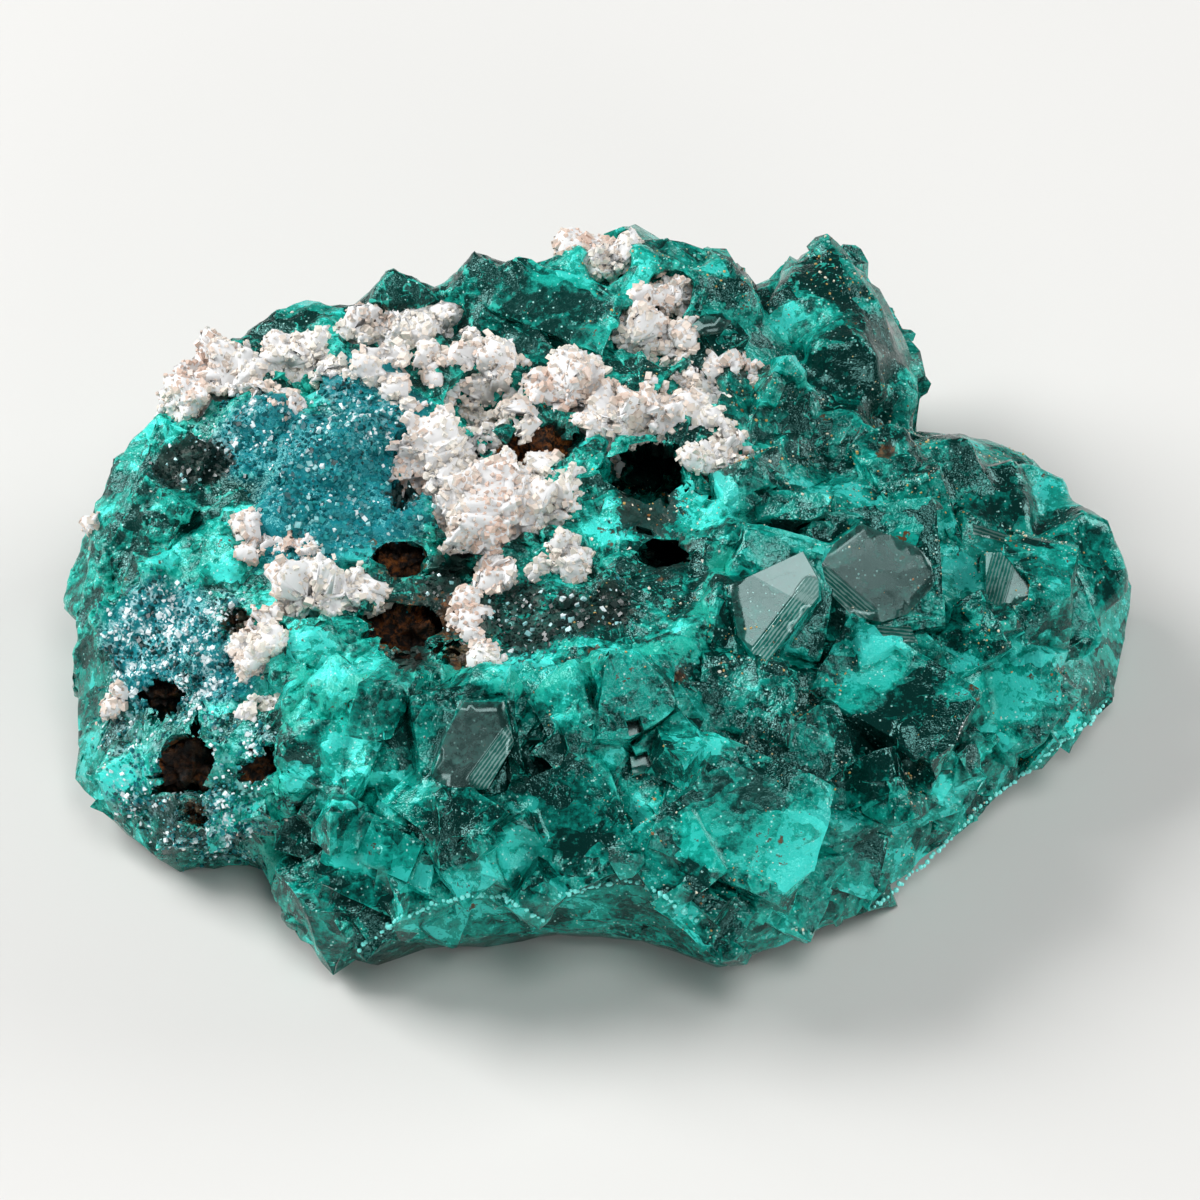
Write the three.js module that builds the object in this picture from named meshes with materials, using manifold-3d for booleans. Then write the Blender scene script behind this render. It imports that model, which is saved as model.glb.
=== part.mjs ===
// A dioptase specimen: a thick crust of intergrown emerald-green crystals, with masses of white granular
// calcite set in its top and brown iron-stained rock in its pits. Millimetres, +Z up, resting on a flat cut.
import * as THREE from "three";
import { ConvexGeometry } from "three/addons/geometries/ConvexGeometry.js";
import { mergeVertices } from "three/addons/utils/BufferGeometryUtils.js";
import Module from "manifold-3d";

const wasm = await Module();
wasm.setup();

// The specimen is described on a plane that looks down at its front: "right" runs along +X, and "up"
// climbs away from the viewer. A third number, where there is one, is the height above the table.
const viewTilt = THREE.MathUtils.degToRad(45);
const sinTilt = Math.sin(viewTilt);
const cosTilt = Math.cos(viewTilt);
const toViewer = new THREE.Vector3(0, -cosTilt, sinTilt);
const upPlane = new THREE.Vector3(0, sinTilt, cosTilt);

const seatGap = 0.3; // clearance between the crust and what is set in it
const facetReach = 0.795; // how near a lump's facets come to its centre, as a share of its radius
const seedOfSpecimen = 41;

// The outline seen from the front, anticlockwise from the right: [right, up, height of the edge].
const outline = [
  [21.1, 0.3, 2.6], [19.8, 2.8, 4.2], [18.6, 4.0, 5.2], [16.5, 5.9, 6.0], [15.0, 6.7, 6.4], [12.4, 6.5, 6.0],
  [12.0, 7.8, 6.6], [12.5, 9.9, 7.2], [11.1, 12.4, 8.4], [9.2, 13.9, 9.2], [7.8, 13.6, 9.2], [6.1, 12.6, 9.4],
  [5.4, 13.2, 11.0], [4.2, 13.8, 12.0], [2.3, 14.6, 13.0], [-0.1, 13.6, 13.0], [-1.35, 14.05, 13.0],
  [-3.3, 13.2, 12.2], [-4.9, 13.7, 12.2], [-6.9, 12.5, 12.0], [-8.7, 12.9, 11.6], [-10.5, 11.8, 11.0],
  [-12.1, 12.0, 11.0], [-14.7, 10.7, 10.5], [-17.0, 9.1, 10.0], [-17.7, 7.8, 9.5], [-19.3, 5.6, 8.6],
  [-20.6, 2.9, 7.2], [-21.0, 0.0, 5.6], [-21.0, -2.0, 4.6], [-20.6, -4.4, 3.4], [-20.9, -7.3, 2.2],
  [-19.5, -8.9, 1.8], [-17.8, -10.3, 1.5], [-15.1, -9.7, 2.1], [-13.8, -10.4, 1.7], [-12.0, -13.6, 1.2],
  [-9.6, -14.4, 1.2], [-7.7, -13.6, 1.5], [-5.2, -13.4, 1.8], [-2.0, -13.3, 1.4], [1.5, -13.6, 1.3],
  [4.7, -14.6, 1.2], [7.3, -13.6, 1.2], [9.8, -12.7, 1.2], [10.8, -11.7, 1.3], [14.5, -9.1, 1.3],
  [15.4, -8.0, 1.5], [18.9, -5.5, 1.4], [20.2, -4.1, 1.4], [20.9, -1.5, 1.9],
];

// Where the broad top lies, and how the specimen falls away towards its edge.
const crown = { height: 10.6, risePerUp: 0.17, fallPerRight: 0.13, fallFrom: 3, shoulder: 3.6 };
const backWall = { bulge: 2.2, undercut: 1.1, tallEdge: 12 };
const crystalReach = 0.35; // how far crystals stand out beyond the crust's own edge

// Hills and hollows of the crust: [right, up, radius, rise towards the viewer].
const relief = [
  [-6.6, -1.2, 3.0, -1.5], [-2.0, 0.4, 2.2, -0.7], [-10.6, 4.9, 3.2, 0.9], [-14.8, 4.4, 1.8, -0.9],
  [-8.6, -2.9, 1.5, 0.9], [-5.0, -3.4, 1.6, 0.9], [-1.4, -2.7, 1.6, 0.8], [3.6, -1.6, 1.8, 0.7],
  [0.2, 10.4, 2.3, -1.3], [-3.4, 9.4, 1.6, -0.6], [6.4, 11.6, 1.1, -2.2], [6.9, 9.5, 1.3, -2.3],
  [7.9, 7.3, 1.5, -1.8], [9.4, 10.6, 2.6, 1.0], [8.3, -2.1, 1.6, -1.8], [-3.0, -6.8, 1.0, -1.9],
  [-6.3, -12.8, 1.7, -1.3], [0.6, -12.4, 0.9, -0.9], [14.2, 2.9, 1.6, -0.9], [17.0, 1.6, 2.4, 0.9],
  [4.4, -9.4, 3.0, 1.0], [-17.6, -1.6, 2.2, 0.5], [-17.4, -6.6, 2.4, 0.6], [12.0, -8.2, 2.0, -0.7],
];

// The large crystals of the front. at: [right, up]; size: [wide, tall, deep] of the block;
// spin turns its face on the plane, lean tips it [to the right, upwards], in degrees; proud is how far
// its face stands out of the crust, and trim how much the prism faces cut off its corners (0 to 1).
const largeCrystals = [
  { at: [6.5, -0.1], size: [3.8, 4.4, 3.9], spin: 31, lean: [4, 10], proud: 0.9, trim: 0.25 },
  { at: [5.2, -1.5], size: [2.6, 3.0, 3.0], spin: 31, lean: [4, 10], proud: 0.7, trim: 0.2 },
  { at: [10.6, 0.9], size: [5.1, 4.3, 4.1], spin: -38, lean: [-3, 12], proud: 0.9, trim: 0.35 },
  { at: [9.2, -0.2], size: [3.6, 1.7, 3.4], spin: -46, lean: [-22, -12], proud: 0.7, trim: 0.1 },
  { at: [17.6, 0.3], size: [3.9, 6.2, 3.9], spin: -14, lean: [30, 4], proud: 0.4, trim: 0.5 },
  { at: [16.7, -1.4], size: [3.0, 4.3, 3.4], spin: -18, lean: [12, -14], proud: 0.6, trim: 0.3 },
  { at: [-5.6, -5.6], size: [4.3, 3.9, 3.6], spin: -36, lean: [12, 8], proud: 0.8, trim: 0.2 },
  { at: [-7.4, -6.0], size: [3.0, 3.4, 3.2], spin: -28, lean: [-14, 2], proud: 0.6, trim: 0.3 },
  { at: [-1.9, -9.0], size: [4.6, 5.0, 4.1], spin: -22, lean: [-8, 6], proud: 0.7, trim: 0.3 },
  { at: [4.9, -8.6], size: [6.2, 5.0, 4.6], spin: 24, lean: [6, 2], proud: 0.7, trim: 0.6 },
  { at: [2.5, -9.9], size: [3.4, 3.0, 3.2], spin: -12, lean: [-18, -4], proud: 0.5, trim: 0.4 },
  { at: [10.8, -4.2], size: [5.9, 3.6, 4.1], spin: 14, lean: [4, 24], proud: 1.1, trim: 0.6 },
  { at: [15.6, -3.9], size: [3.9, 3.4, 3.6], spin: 8, lean: [-6, -8], proud: 0.7, trim: 0.5 },
  { at: [13.6, -1.9], size: [2.5, 3.4, 3.0], spin: -14, lean: [-20, 6], proud: 0.6, trim: 0.2 },
  { at: [12.0, -6.8], size: [4.3, 2.7, 3.4], spin: 12, lean: [8, -22], proud: 0.6, trim: 0.3 },
  { at: [9.6, -7.2], size: [1.7, 3.6, 3.0], spin: -28, lean: [-26, 0], proud: 0.7, trim: 0.1 },
  { at: [6.4, -6.3], size: [3.6, 3.0, 3.2], spin: 22, lean: [14, 10], proud: 0.6, trim: 0.3 },
  { at: [5.2, -4.2], size: [3.6, 3.0, 3.2], spin: 35, lean: [-10, 18], proud: 0.7, trim: 0.45 },
  { at: [2.4, -6.2], size: [3.0, 2.3, 2.7], spin: -10, lean: [10, -12], proud: 0.6, trim: 0.3 },
  { at: [0.9, -5.0], size: [1.8, 1.9, 2.3], spin: 40, lean: [-6, 22], proud: 0.7, trim: 0.1 },
  { at: [-1.6, -4.5], size: [2.2, 2.1, 2.5], spin: -12, lean: [-18, 8], proud: 0.7, trim: 0.2 },
  { at: [-0.6, -6.3], size: [2.3, 1.8, 2.5], spin: 18, lean: [6, -6], proud: 0.5, trim: 0.3 },
  { at: [-5.8, -8.7], size: [3.0, 2.6, 3.0], spin: -9, lean: [-8, 4], proud: 0.6, trim: 0.2 },
  { at: [-4.2, -10.2], size: [2.4, 1.6, 2.5], spin: 6, lean: [14, 16], proud: 0.6, trim: 0.2 },
  { at: [-9.0, -10.2], size: [3.9, 3.4, 3.4], spin: 24, lean: [-12, -6], proud: 0.5, trim: 0.4 },
  { at: [-10.1, -5.4], size: [3.4, 4.6, 3.2], spin: 18, lean: [-20, 10], proud: 0.6, trim: 0.35 },
  { at: [-11.2, -8.6], size: [2.7, 3.4, 3.0], spin: 30, lean: [-24, 0], proud: 0.4, trim: 0.3 },
  { at: [-7.3, -11.0], size: [2.7, 2.1, 2.7], spin: -20, lean: [4, 14], proud: 0.6, trim: 0.3 },
  { at: [15.0, 0.2], size: [1.5, 3.4, 2.5], spin: -24, lean: [-16, 4], proud: 0.6, trim: 0.1 },
  { at: [16.2, -0.9], size: [1.4, 3.2, 2.5], spin: -26, lean: [18, -4], proud: 0.6, trim: 0.1 },
  { at: [9.0, 5.3], size: [3.6, 3.2, 3.4], spin: -20, lean: [-10, 8], proud: 0.6, trim: 0.4 },
  { at: [11.2, 4.6], size: [3.9, 2.5, 3.2], spin: -16, lean: [6, 18], proud: 0.6, trim: 0.3 },
  { at: [13.4, 4.2], size: [4.1, 2.7, 3.4], spin: -18, lean: [4, 4], proud: 0.5, trim: 0.4 },
  { at: [15.3, 3.5], size: [3.2, 2.7, 3.0], spin: -32, lean: [16, 12], proud: 0.4, trim: 0.4 },
  { at: [12.9, 2.6], size: [4.6, 1.4, 2.7], spin: -24, lean: [0, -20], proud: 0.7, trim: 0.1 },
  { at: [7.7, 11.0], size: [3.2, 3.0, 3.2], spin: 12, lean: [-12, 4], proud: 0.4, trim: 0.5 },
  { at: [9.0, 11.5], size: [3.4, 3.0, 3.2], spin: -16, lean: [6, 14], proud: 0.4, trim: 0.5 },
  { at: [10.2, 9.9], size: [2.7, 3.4, 3.0], spin: 10, lean: [22, 4], proud: 0.4, trim: 0.5 },
  { at: [9.4, 8.8], size: [3.2, 2.7, 3.0], spin: -30, lean: [4, -10], proud: 0.6, trim: 0.4 },
  { at: [11.0, 7.9], size: [2.5, 2.3, 2.7], spin: 20, lean: [14, -6], proud: 0.4, trim: 0.3 },
  { at: [1.8, 11.9], size: [3.6, 2.7, 3.2], spin: 22, lean: [-4, 12], proud: 0.5, trim: 0.5 },
  { at: [4.0, 11.5], size: [3.0, 2.7, 3.0], spin: -34, lean: [18, 8], proud: 0.4, trim: 0.4 },
  { at: [4.2, 10.2], size: [2.2, 1.5, 2.3], spin: -12, lean: [4, 30], proud: 0.6, trim: 0.1 },
  { at: [-2.2, 11.2], size: [5.2, 2.6, 3.2], spin: 24, lean: [-6, 20], proud: 0.6, trim: 0.4 },
  { at: [-4.8, 11.7], size: [3.1, 2.2, 2.7], spin: 8, lean: [-8, 6], proud: 0.4, trim: 0.4 },
  { at: [-7.8, 11.1], size: [3.3, 2.2, 2.7], spin: 14, lean: [4, 14], proud: 0.4, trim: 0.4 },
  { at: [-17.0, 4.6], size: [2.5, 3.4, 2.7], spin: 22, lean: [-20, 8], proud: 0.4, trim: 0.3 },
  { at: [-17.9, 2.2], size: [2.3, 3.9, 2.7], spin: 12, lean: [-28, 0], proud: 0.4, trim: 0.3 },
  { at: [-18.1, -1.3], size: [2.7, 3.0, 2.7], spin: -10, lean: [-18, -4], proud: 0.4, trim: 0.2 },
  { at: [6.6, 6.6], size: [2.5, 3.9, 3.0], spin: 14, lean: [24, 4], proud: 0.4, trim: 0.4 },
  { at: [5.7, 3.0], size: [2.7, 3.2, 2.7], spin: -8, lean: [14, -4], proud: 0.4, trim: 0.4 },
  { at: [7.4, 3.1], size: [2.1, 1.5, 2.3], spin: 38, lean: [10, 20], proud: 0.6, trim: 0.1 },
  { at: [-9.6, -12.0], size: [3.3, 1.9, 2.5], spin: -6, lean: [-4, -8], proud: 0.3, trim: 0.3 },
  { at: [3.6, -12.0], size: [3.4, 2.3, 2.7], spin: 10, lean: [-8, -6], proud: 0.4, trim: 0.3 },
  { at: [6.4, -11.6], size: [3.6, 2.2, 2.7], spin: 22, lean: [6, -4], proud: 0.4, trim: 0.3 },
  { at: [8.8, -10.2], size: [3.2, 2.5, 2.7], spin: 34, lean: [12, -8], proud: 0.4, trim: 0.3 },
];

// Seams of smaller crystals that fill the crust between the large ones, all seeded.
const smallCrystals = { count: 20, least: 1.4, most: 2.6, proud: 0.55, trim: 0.55 };
const wallCrystals = { count: 30, least: 2.6, most: 4.8, proud: 0.35, trim: 0.6, lowest: 0.2, highest: 0.84 };

// Knobs of fine-grained crust on the western top and flank: [right, up, radius].
const knobs = [
  [-10.6, 5.3, 2.6], [-12.6, 3.2, 1.7], [-16.8, 3.4, 1.4], [-13.2, 6.8, 1.5], [-9.0, 8.6, 1.3], [-17.8, 0.4, 1.7],
  [-14.6, 1.2, 1.6], [-18.6, -4.0, 1.5], [-15.4, -2.8, 1.5], [-18.6, -7.2, 1.8], [-14.4, -8.6, 1.2],
  [-11.2, -1.9, 1.3], [-8.9, -3.3, 1.1], [-1.9, 1.6, 1.3], [0.5, 3.0, 1.0], [3.8, 1.6, 1.2], [-1.0, 10.2, 1.1],
  [-3.2, 9.8, 1.2],
];
const knobProud = 0.45;

// Calcite masses, each one body of overlapping lumps: [right, up, radius]. proud lifts them.
const calciteMasses = {
  calcite_centre: { proud: 0.35, lumps: [[-6.6, 5.2, 1.8], [-4.8, 3.3, 2.1], [-2.7, 3.3, 1.3], [-4.8, 7.5, 1.6]] },
  calcite_east: {
    proud: 0.3,
    lumps: [[-1.3, 7.9, 1.3], [0.1, 6.8, 1.3], [1.8, 7.1, 1.0], [3.3, 7.9, 1.1], [4.9, 8.3, 0.8]],
  },
  calcite_rose: { proud: 0.2, lumps: [[4.5, 5.4, 0.9], [4.2, 4.3, 0.75]] },
  calcite_northwest: { proud: 0.3, lumps: [[-16.3, 7.8, 1.1], [-14.8, 8.5, 1.15]] },
  calcite_north: { proud: 0.3, lumps: [[-11.8, 9.4, 1.2], [-12.1, 8.2, 0.8]] },
  calcite_ridge: { proud: 0.2, lumps: [[-9.4, 10.4, 0.9], [-7.9, 10.3, 1.0], [-6.3, 10.8, 0.9]] },
  calcite_summit: { proud: 0.3, lumps: [[0.2, 13.1, 0.9]] },
  calcite_crest: { proud: 0.25, lumps: [[2.6, 11.7, 0.9]] },
  calcite_saddle: { proud: 0.25, lumps: [[1.2, 10.1, 0.8], [2.3, 9.6, 0.75]] },
  calcite_west: { proud: 0.3, lumps: [[-11.2, 0.2, 1.4], [-9.9, 0.4, 1.0]] },
  calcite_southwest: { proud: 0.25, lumps: [[-13.2, -2.1, 1.15], [-12.9, -3.7, 0.75]] },
};

// Pits in the crust. size: [wide, tall]; depth below the surface. The brown iron-stained rock lies in
// the bottom of those that name it, and its top is that far below the surface.
const pits = [
  { at: [-2.7, 5.5], size: [1.5, 1.1], depth: 3.0, rock: "brown_rock_centre", rockTop: 1.5 },
  { at: [1.5, 4.4], size: [1.8, 1.85], depth: 4.6 },
  { at: [2.2, 1.5], size: [1.2, 0.85], depth: 3.2 },
  { at: [-7.5, -1.6], size: [2.1, 1.5], depth: 3.2, rock: "brown_rock_hollow", rockTop: 1.3 },
  { at: [-8.0, 1.3], size: [1.3, 1.0], depth: 2.4, rock: "brown_rock_middle", rockTop: 0.8 },
  { at: [-16.0, -6.5], size: [1.6, 1.3], depth: 3.0, rock: "brown_rock_lobe", rockTop: 1.4 },
  { at: [-12.9, -6.8], size: [1.05, 0.95], depth: 2.6, rock: "brown_rock_south", rockTop: 1.1 },
  { at: [-17.0, -3.9], size: [1.1, 0.8], depth: 2.2, rock: "brown_rock_flank", rockTop: 0.9 },
];

// A repeatable source of random numbers between 0 and 1.
function seeded(seed) {
  let state = seed;
  return () => {
    state = (state + 0x6d2b79f5) | 0;
    let mixed = Math.imul(state ^ (state >>> 15), 1 | state);
    mixed = (mixed + Math.imul(mixed ^ (mixed >>> 7), 61 | mixed)) ^ mixed;
    return ((mixed ^ (mixed >>> 14)) >>> 0) / 4294967296;
  };
}

// A closed three.js geometry as a solid for joining and cutting.
function solidFrom(geometry) {
  const bare = geometry.index ? geometry.toNonIndexed() : geometry.clone();
  bare.deleteAttribute("normal");
  bare.deleteAttribute("uv");
  const merged = mergeVertices(bare, 1e-4);
  return new wasm.Manifold(
    new wasm.Mesh({
      numProp: 3,
      vertProperties: new Float32Array(merged.attributes.position.array),
      triVerts: new Uint32Array(merged.index.array),
    }),
  );
}

function geometryFrom(solid) {
  const mesh = solid.getMesh();
  const positions = new Float32Array(mesh.numVert * 3);
  for (let i = 0; i < mesh.numVert; i++) {
    positions.set(mesh.vertProperties.subarray(i * mesh.numProp, i * mesh.numProp + 3), i * 3);
  }
  const geometry = new THREE.BufferGeometry();
  geometry.setAttribute("position", new THREE.BufferAttribute(positions, 3));
  geometry.setIndex(new THREE.BufferAttribute(new Uint32Array(mesh.triVerts), 1));
  return geometry;
}

const joined = (solids) => wasm.Manifold.union(solids);

// A point of the front plane at a height above the table, in the specimen's own frame.
function place(right, up, height) {
  return new THREE.Vector3(right, (up - height * cosTilt) / sinTilt, height);
}

const rim = outline
  .map(([right, up, height]) => {
    return { angle: Math.atan2(up, right), reach: Math.hypot(right, up) - crystalReach, height };
  })
  .map((point) => ({ ...point, angle: point.angle < 0 ? point.angle + 2 * Math.PI : point.angle }))
  .sort((a, b) => a.angle - b.angle);

// How far the outline reaches at an angle, and how high its edge is there.
function rimAt(angle) {
  const turn = ((angle % (2 * Math.PI)) + 2 * Math.PI) % (2 * Math.PI);
  let next = rim.findIndex((point) => point.angle > turn);
  if (next < 0) next = 0;
  const before = rim[(next + rim.length - 1) % rim.length];
  const after = rim[next];
  const span = (after.angle - before.angle + 2 * Math.PI) % (2 * Math.PI);
  const share = ((turn - before.angle + 2 * Math.PI) % (2 * Math.PI)) / span;
  return {
    reach: THREE.MathUtils.lerp(before.reach, after.reach, share),
    height: THREE.MathUtils.lerp(before.height, after.height, share),
  };
}

// The crust's front: height of the plain form, then its hills and hollows.
function front(right, up) {
  const edge = rimAt(Math.atan2(up, right));
  const share = Math.min(1, Math.hypot(right, up) / edge.reach);
  const top = crown.height + crown.risePerUp * up - crown.fallPerRight * Math.max(0, right - crown.fallFrom);
  const height = edge.height + (top - edge.height) * (1 - share ** crown.shoulder);
  const fade = 1 - share ** 8;
  const rise = relief.reduce((sum, [r, u, radius, lift]) => {
    return sum + lift * Math.exp(-((right - r) ** 2 + (up - u) ** 2) / radius ** 2);
  }, 0);
  return place(right, up, height).addScaledVector(toViewer, rise * fade);
}

function frontNormal(right, up) {
  const step = 0.4;
  const alongRight = front(right + step, up).sub(front(right - step, up));
  const alongUp = front(right, up + step).sub(front(right, up - step));
  return alongRight.cross(alongUp).normalize();
}

// The hidden sides: from the outline's edge (drop 0) down to the cut (drop 1).
function wall(angle, drop) {
  const edge = rimAt(angle);
  const point = place(edge.reach * Math.cos(angle), edge.reach * Math.sin(angle), edge.height);
  const tall = Math.min(1, edge.height / backWall.tallEdge);
  const faces = Math.max(0, Math.sin(angle));
  point.y += backWall.bulge * Math.sin(Math.PI * drop) * tall * faces;
  const inward = new THREE.Vector2(-Math.cos(angle), -Math.sin(angle)).multiplyScalar(backWall.undercut * drop);
  point.x += inward.x;
  point.y += inward.y;
  point.z = edge.height * (1 - drop);
  return point;
}

function wallNormal(angle, drop) {
  const turn = wall(angle + 0.05, drop).sub(wall(angle - 0.05, drop));
  const fall = wall(angle, Math.min(1, drop + 0.1)).sub(wall(angle, Math.max(0, drop - 0.1)));
  return fall.cross(turn).normalize();
}

// A closed surface from rings of equal length, with a point at each end.
function shellFromRings(first, rings, last) {
  const positions = [first, ...rings.flat(), last];
  const around = rings[0].length;
  const indices = [];
  const end = positions.length - 1;
  for (let i = 0; i < around; i++) {
    const j = (i + 1) % around;
    indices.push(0, 1 + i, 1 + j);
    rings.slice(1).forEach((_, row) => {
      const inner = 1 + row * around;
      const outer = inner + around;
      indices.push(inner + i, outer + i, outer + j, inner + i, outer + j, inner + j);
    });
    const lastRing = 1 + (rings.length - 1) * around;
    indices.push(lastRing + i, end, lastRing + j);
  }
  const geometry = new THREE.BufferGeometry().setFromPoints(positions);
  geometry.setIndex(indices);
  return geometry;
}

function crustBody() {
  const frontShares = [0.2, 0.4, 0.58, 0.74, 0.87, 0.95, 1];
  const wallDrops = [0.5, 1];
  const rings = [
    ...frontShares.map((share) =>
      rim.map(({ angle, reach }) => front(share * reach * Math.cos(angle), share * reach * Math.sin(angle))),
    ),
    ...wallDrops.map((drop) => rim.map(({ angle }) => wall(angle, drop))),
  ];
  const cut = rings.at(-1);
  const cutCentre = cut.reduce((sum, p) => sum.add(p), new THREE.Vector3()).divideScalar(cut.length);
  return solidFrom(shellFromRings(front(0, 0), rings, cutCentre.setZ(0)));
}

// A dioptase crystal as a convex block: three pairs of rhombohedron faces, about 95 degrees apart, the
// first pair square to the block's own Z, with six prism faces that cut its corners.
const rhombTilt = THREE.MathUtils.degToRad(51.1);
const rhombFaces = [0, 1, 2].map((third) => {
  const turn = (third * 2 * Math.PI) / 3;
  return new THREE.Vector3(
    Math.sin(rhombTilt) * Math.cos(turn),
    Math.sin(rhombTilt) * Math.sin(turn),
    Math.cos(rhombTilt),
  ).applyAxisAngle(new THREE.Vector3(0, 1, 0), -rhombTilt);
});
const prismFaces = [0, 1, 2, 3, 4, 5].map((sixth) => {
  const turn = (sixth * Math.PI) / 3 + Math.PI / 3;
  return new THREE.Vector3(Math.cos(turn), Math.sin(turn), 0).applyAxisAngle(
    new THREE.Vector3(0, 1, 0),
    -rhombTilt,
  );
});

function cornersOf(planes) {
  const corners = [];
  const crossed = new THREE.Vector3();
  for (let i = 0; i < planes.length; i++) {
    for (let j = i + 1; j < planes.length; j++) {
      for (let k = j + 1; k < planes.length; k++) {
        const [a, b, c] = [planes[i], planes[j], planes[k]];
        const volume = a.normal.dot(crossed.crossVectors(b.normal, c.normal));
        if (Math.abs(volume) < 1e-4) continue;
        const corner = new THREE.Vector3()
          .addScaledVector(crossed.crossVectors(b.normal, c.normal), a.reach / volume)
          .addScaledVector(crossed.crossVectors(c.normal, a.normal), b.reach / volume)
          .addScaledVector(crossed.crossVectors(a.normal, b.normal), c.reach / volume);
        const inside = planes.every((plane) => plane.normal.dot(corner) <= plane.reach + 1e-5);
        const known = corners.some((other) => other.distanceTo(corner) < 0.02);
        if (inside && !known) corners.push(corner);
      }
    }
  }
  return corners;
}

function crystalSolid({ size: [wide, tall, deep], trim }, matrix) {
  const reaches = [deep / 2, wide / 2, tall / 2];
  const sideways = Math.max(wide, tall, deep);
  const planes = rhombFaces.flatMap((normal, n) => [
    { normal, reach: reaches[n] },
    { normal: normal.clone().negate(), reach: reaches[n] },
  ]);
  const prismReach = sideways * THREE.MathUtils.lerp(0.82, 0.5, trim);
  prismFaces.forEach((normal) => planes.push({ normal, reach: prismReach }));
  return solidFrom(new ConvexGeometry(cornersOf(planes)).applyMatrix4(matrix));
}

// Turns a block's own Z to a direction, after a spin about it.
function facing(direction, spin) {
  const across = new THREE.Vector3().crossVectors(upPlane, direction).normalize();
  const along = new THREE.Vector3().crossVectors(direction, across);
  const basis = new THREE.Matrix4().makeBasis(across, along, direction);
  return basis.multiply(new THREE.Matrix4().makeRotationZ(spin));
}

function standingCrystal(crystal, surface, direction, spin) {
  const centre = surface.clone().addScaledVector(direction, crystal.proud - crystal.size[2] / 2);
  const matrix = new THREE.Matrix4().makeTranslation(centre.x, centre.y, centre.z);
  return crystalSolid(crystal, matrix.multiply(facing(direction, spin)));
}

function largeCrystalSolids() {
  return largeCrystals.map((crystal) => {
    const [leanRight, leanUp] = crystal.lean.map(THREE.MathUtils.degToRad);
    const direction = toViewer
      .clone()
      .addScaledVector(new THREE.Vector3(1, 0, 0), Math.tan(leanRight))
      .addScaledVector(upPlane, Math.tan(leanUp))
      .normalize();
    const spin = THREE.MathUtils.degToRad(crystal.spin);
    return standingCrystal(crystal, front(...crystal.at), direction, spin);
  });
}

// Crystals fill the steep front below the ridge, the eastern half and the far edge of the top.
function inCrystalField(right, up) {
  const ridge = -3.2 + 0.08 * right;
  return up < ridge || right > 6.2 || Math.hypot(right / 21, up / 14.5) > 0.93;
}

function scatteredSize(random, { least, most }) {
  const size = THREE.MathUtils.lerp(least, most, random() ** 1.5);
  return [size * (0.8 + 0.5 * random()), size * (0.8 + 0.5 * random()), size];
}

function smallCrystalSolids(random) {
  const solids = [];
  while (solids.length < smallCrystals.count) {
    const angle = random() * 2 * Math.PI;
    const reach = rimAt(angle).reach * Math.sqrt(random()) * 0.95;
    const [right, up] = [reach * Math.cos(angle), reach * Math.sin(angle)];
    const size = scatteredSize(random, smallCrystals);
    const tilt = new THREE.Vector3(random() - 0.5, random() - 0.5, random() - 0.5);
    const spin = random() * Math.PI;
    if (!inCrystalField(right, up)) continue;
    const direction = frontNormal(right, up).multiplyScalar(1.1).add(toViewer).addScaledVector(tilt, 1.2);
    const crystal = { size, trim: smallCrystals.trim * Math.round(random()), proud: smallCrystals.proud };
    solids.push(standingCrystal(crystal, front(right, up), direction.normalize(), spin));
  }
  return solids;
}

function wallCrystalSolids(random) {
  const { count, lowest, highest, proud, trim } = wallCrystals;
  return Array.from({ length: count }, (_, n) => {
    const angle = -0.25 + (Math.PI + 0.7) * ((n + random()) / count);
    const drop = THREE.MathUtils.lerp(lowest, highest, random());
    const size = scatteredSize(random, wallCrystals);
    const tilt = new THREE.Vector3(random() - 0.5, random() - 0.5, random() - 0.5);
    const direction = wallNormal(angle, drop).addScaledVector(tilt, 0.7).normalize();
    const spin = random() * Math.PI;
    const tall = Math.min(1, rimAt(angle).height / 7);
    const crystal = { size: size.map((s) => s * tall), trim: trim * Math.round(random()), proud: proud * tall };
    return standingCrystal(crystal, wall(angle, drop), direction, spin);
  });
}

// A lump with an uneven surface.
function lump(centre, radii, random, roughness = 0.16, detail = 0) {
  const geometry = mergeVertices(
    new THREE.IcosahedronGeometry(1, detail).deleteAttribute("normal").deleteAttribute("uv"),
    1e-4,
  );
  const position = geometry.getAttribute("position");
  for (let i = 0; i < position.count; i++) {
    const swell = 1 + roughness * (random() - 0.5) * 2;
    position.setXYZ(i, position.getX(i) * swell, position.getY(i) * swell, position.getZ(i) * swell);
  }
  const matrix = new THREE.Matrix4().makeTranslation(centre.x, centre.y, centre.z);
  const turned = new THREE.Matrix4().makeBasis(new THREE.Vector3(1, 0, 0), upPlane, toViewer);
  const sized = new THREE.Matrix4().makeScale(radii[0], radii[1], radii[2]);
  return solidFrom(geometry.applyMatrix4(matrix.multiply(turned).multiply(sized)));
}

function knobSolids(random) {
  return knobs.map(([right, up, radius]) => {
    const centre = front(right, up).addScaledVector(frontNormal(right, up), knobProud - 0.6 * radius);
    return lump(centre, [radius, radius, 0.8 * radius], random, 0.12);
  });
}

// One calcite mass, or with a gap the pocket that it sits in.
function calciteSolid({ lumps, proud }, gap) {
  const random = seeded(seedOfSpecimen + lumps.length);
  return joined(
    lumps.map(([right, up, radius]) => {
      const centre = front(right, up).addScaledVector(toViewer, proud - 0.35 * radius);
      const reach = radius + gap / facetReach;
      return lump(centre, [reach, reach, reach], random, 0.12);
    }),
  );
}

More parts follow.
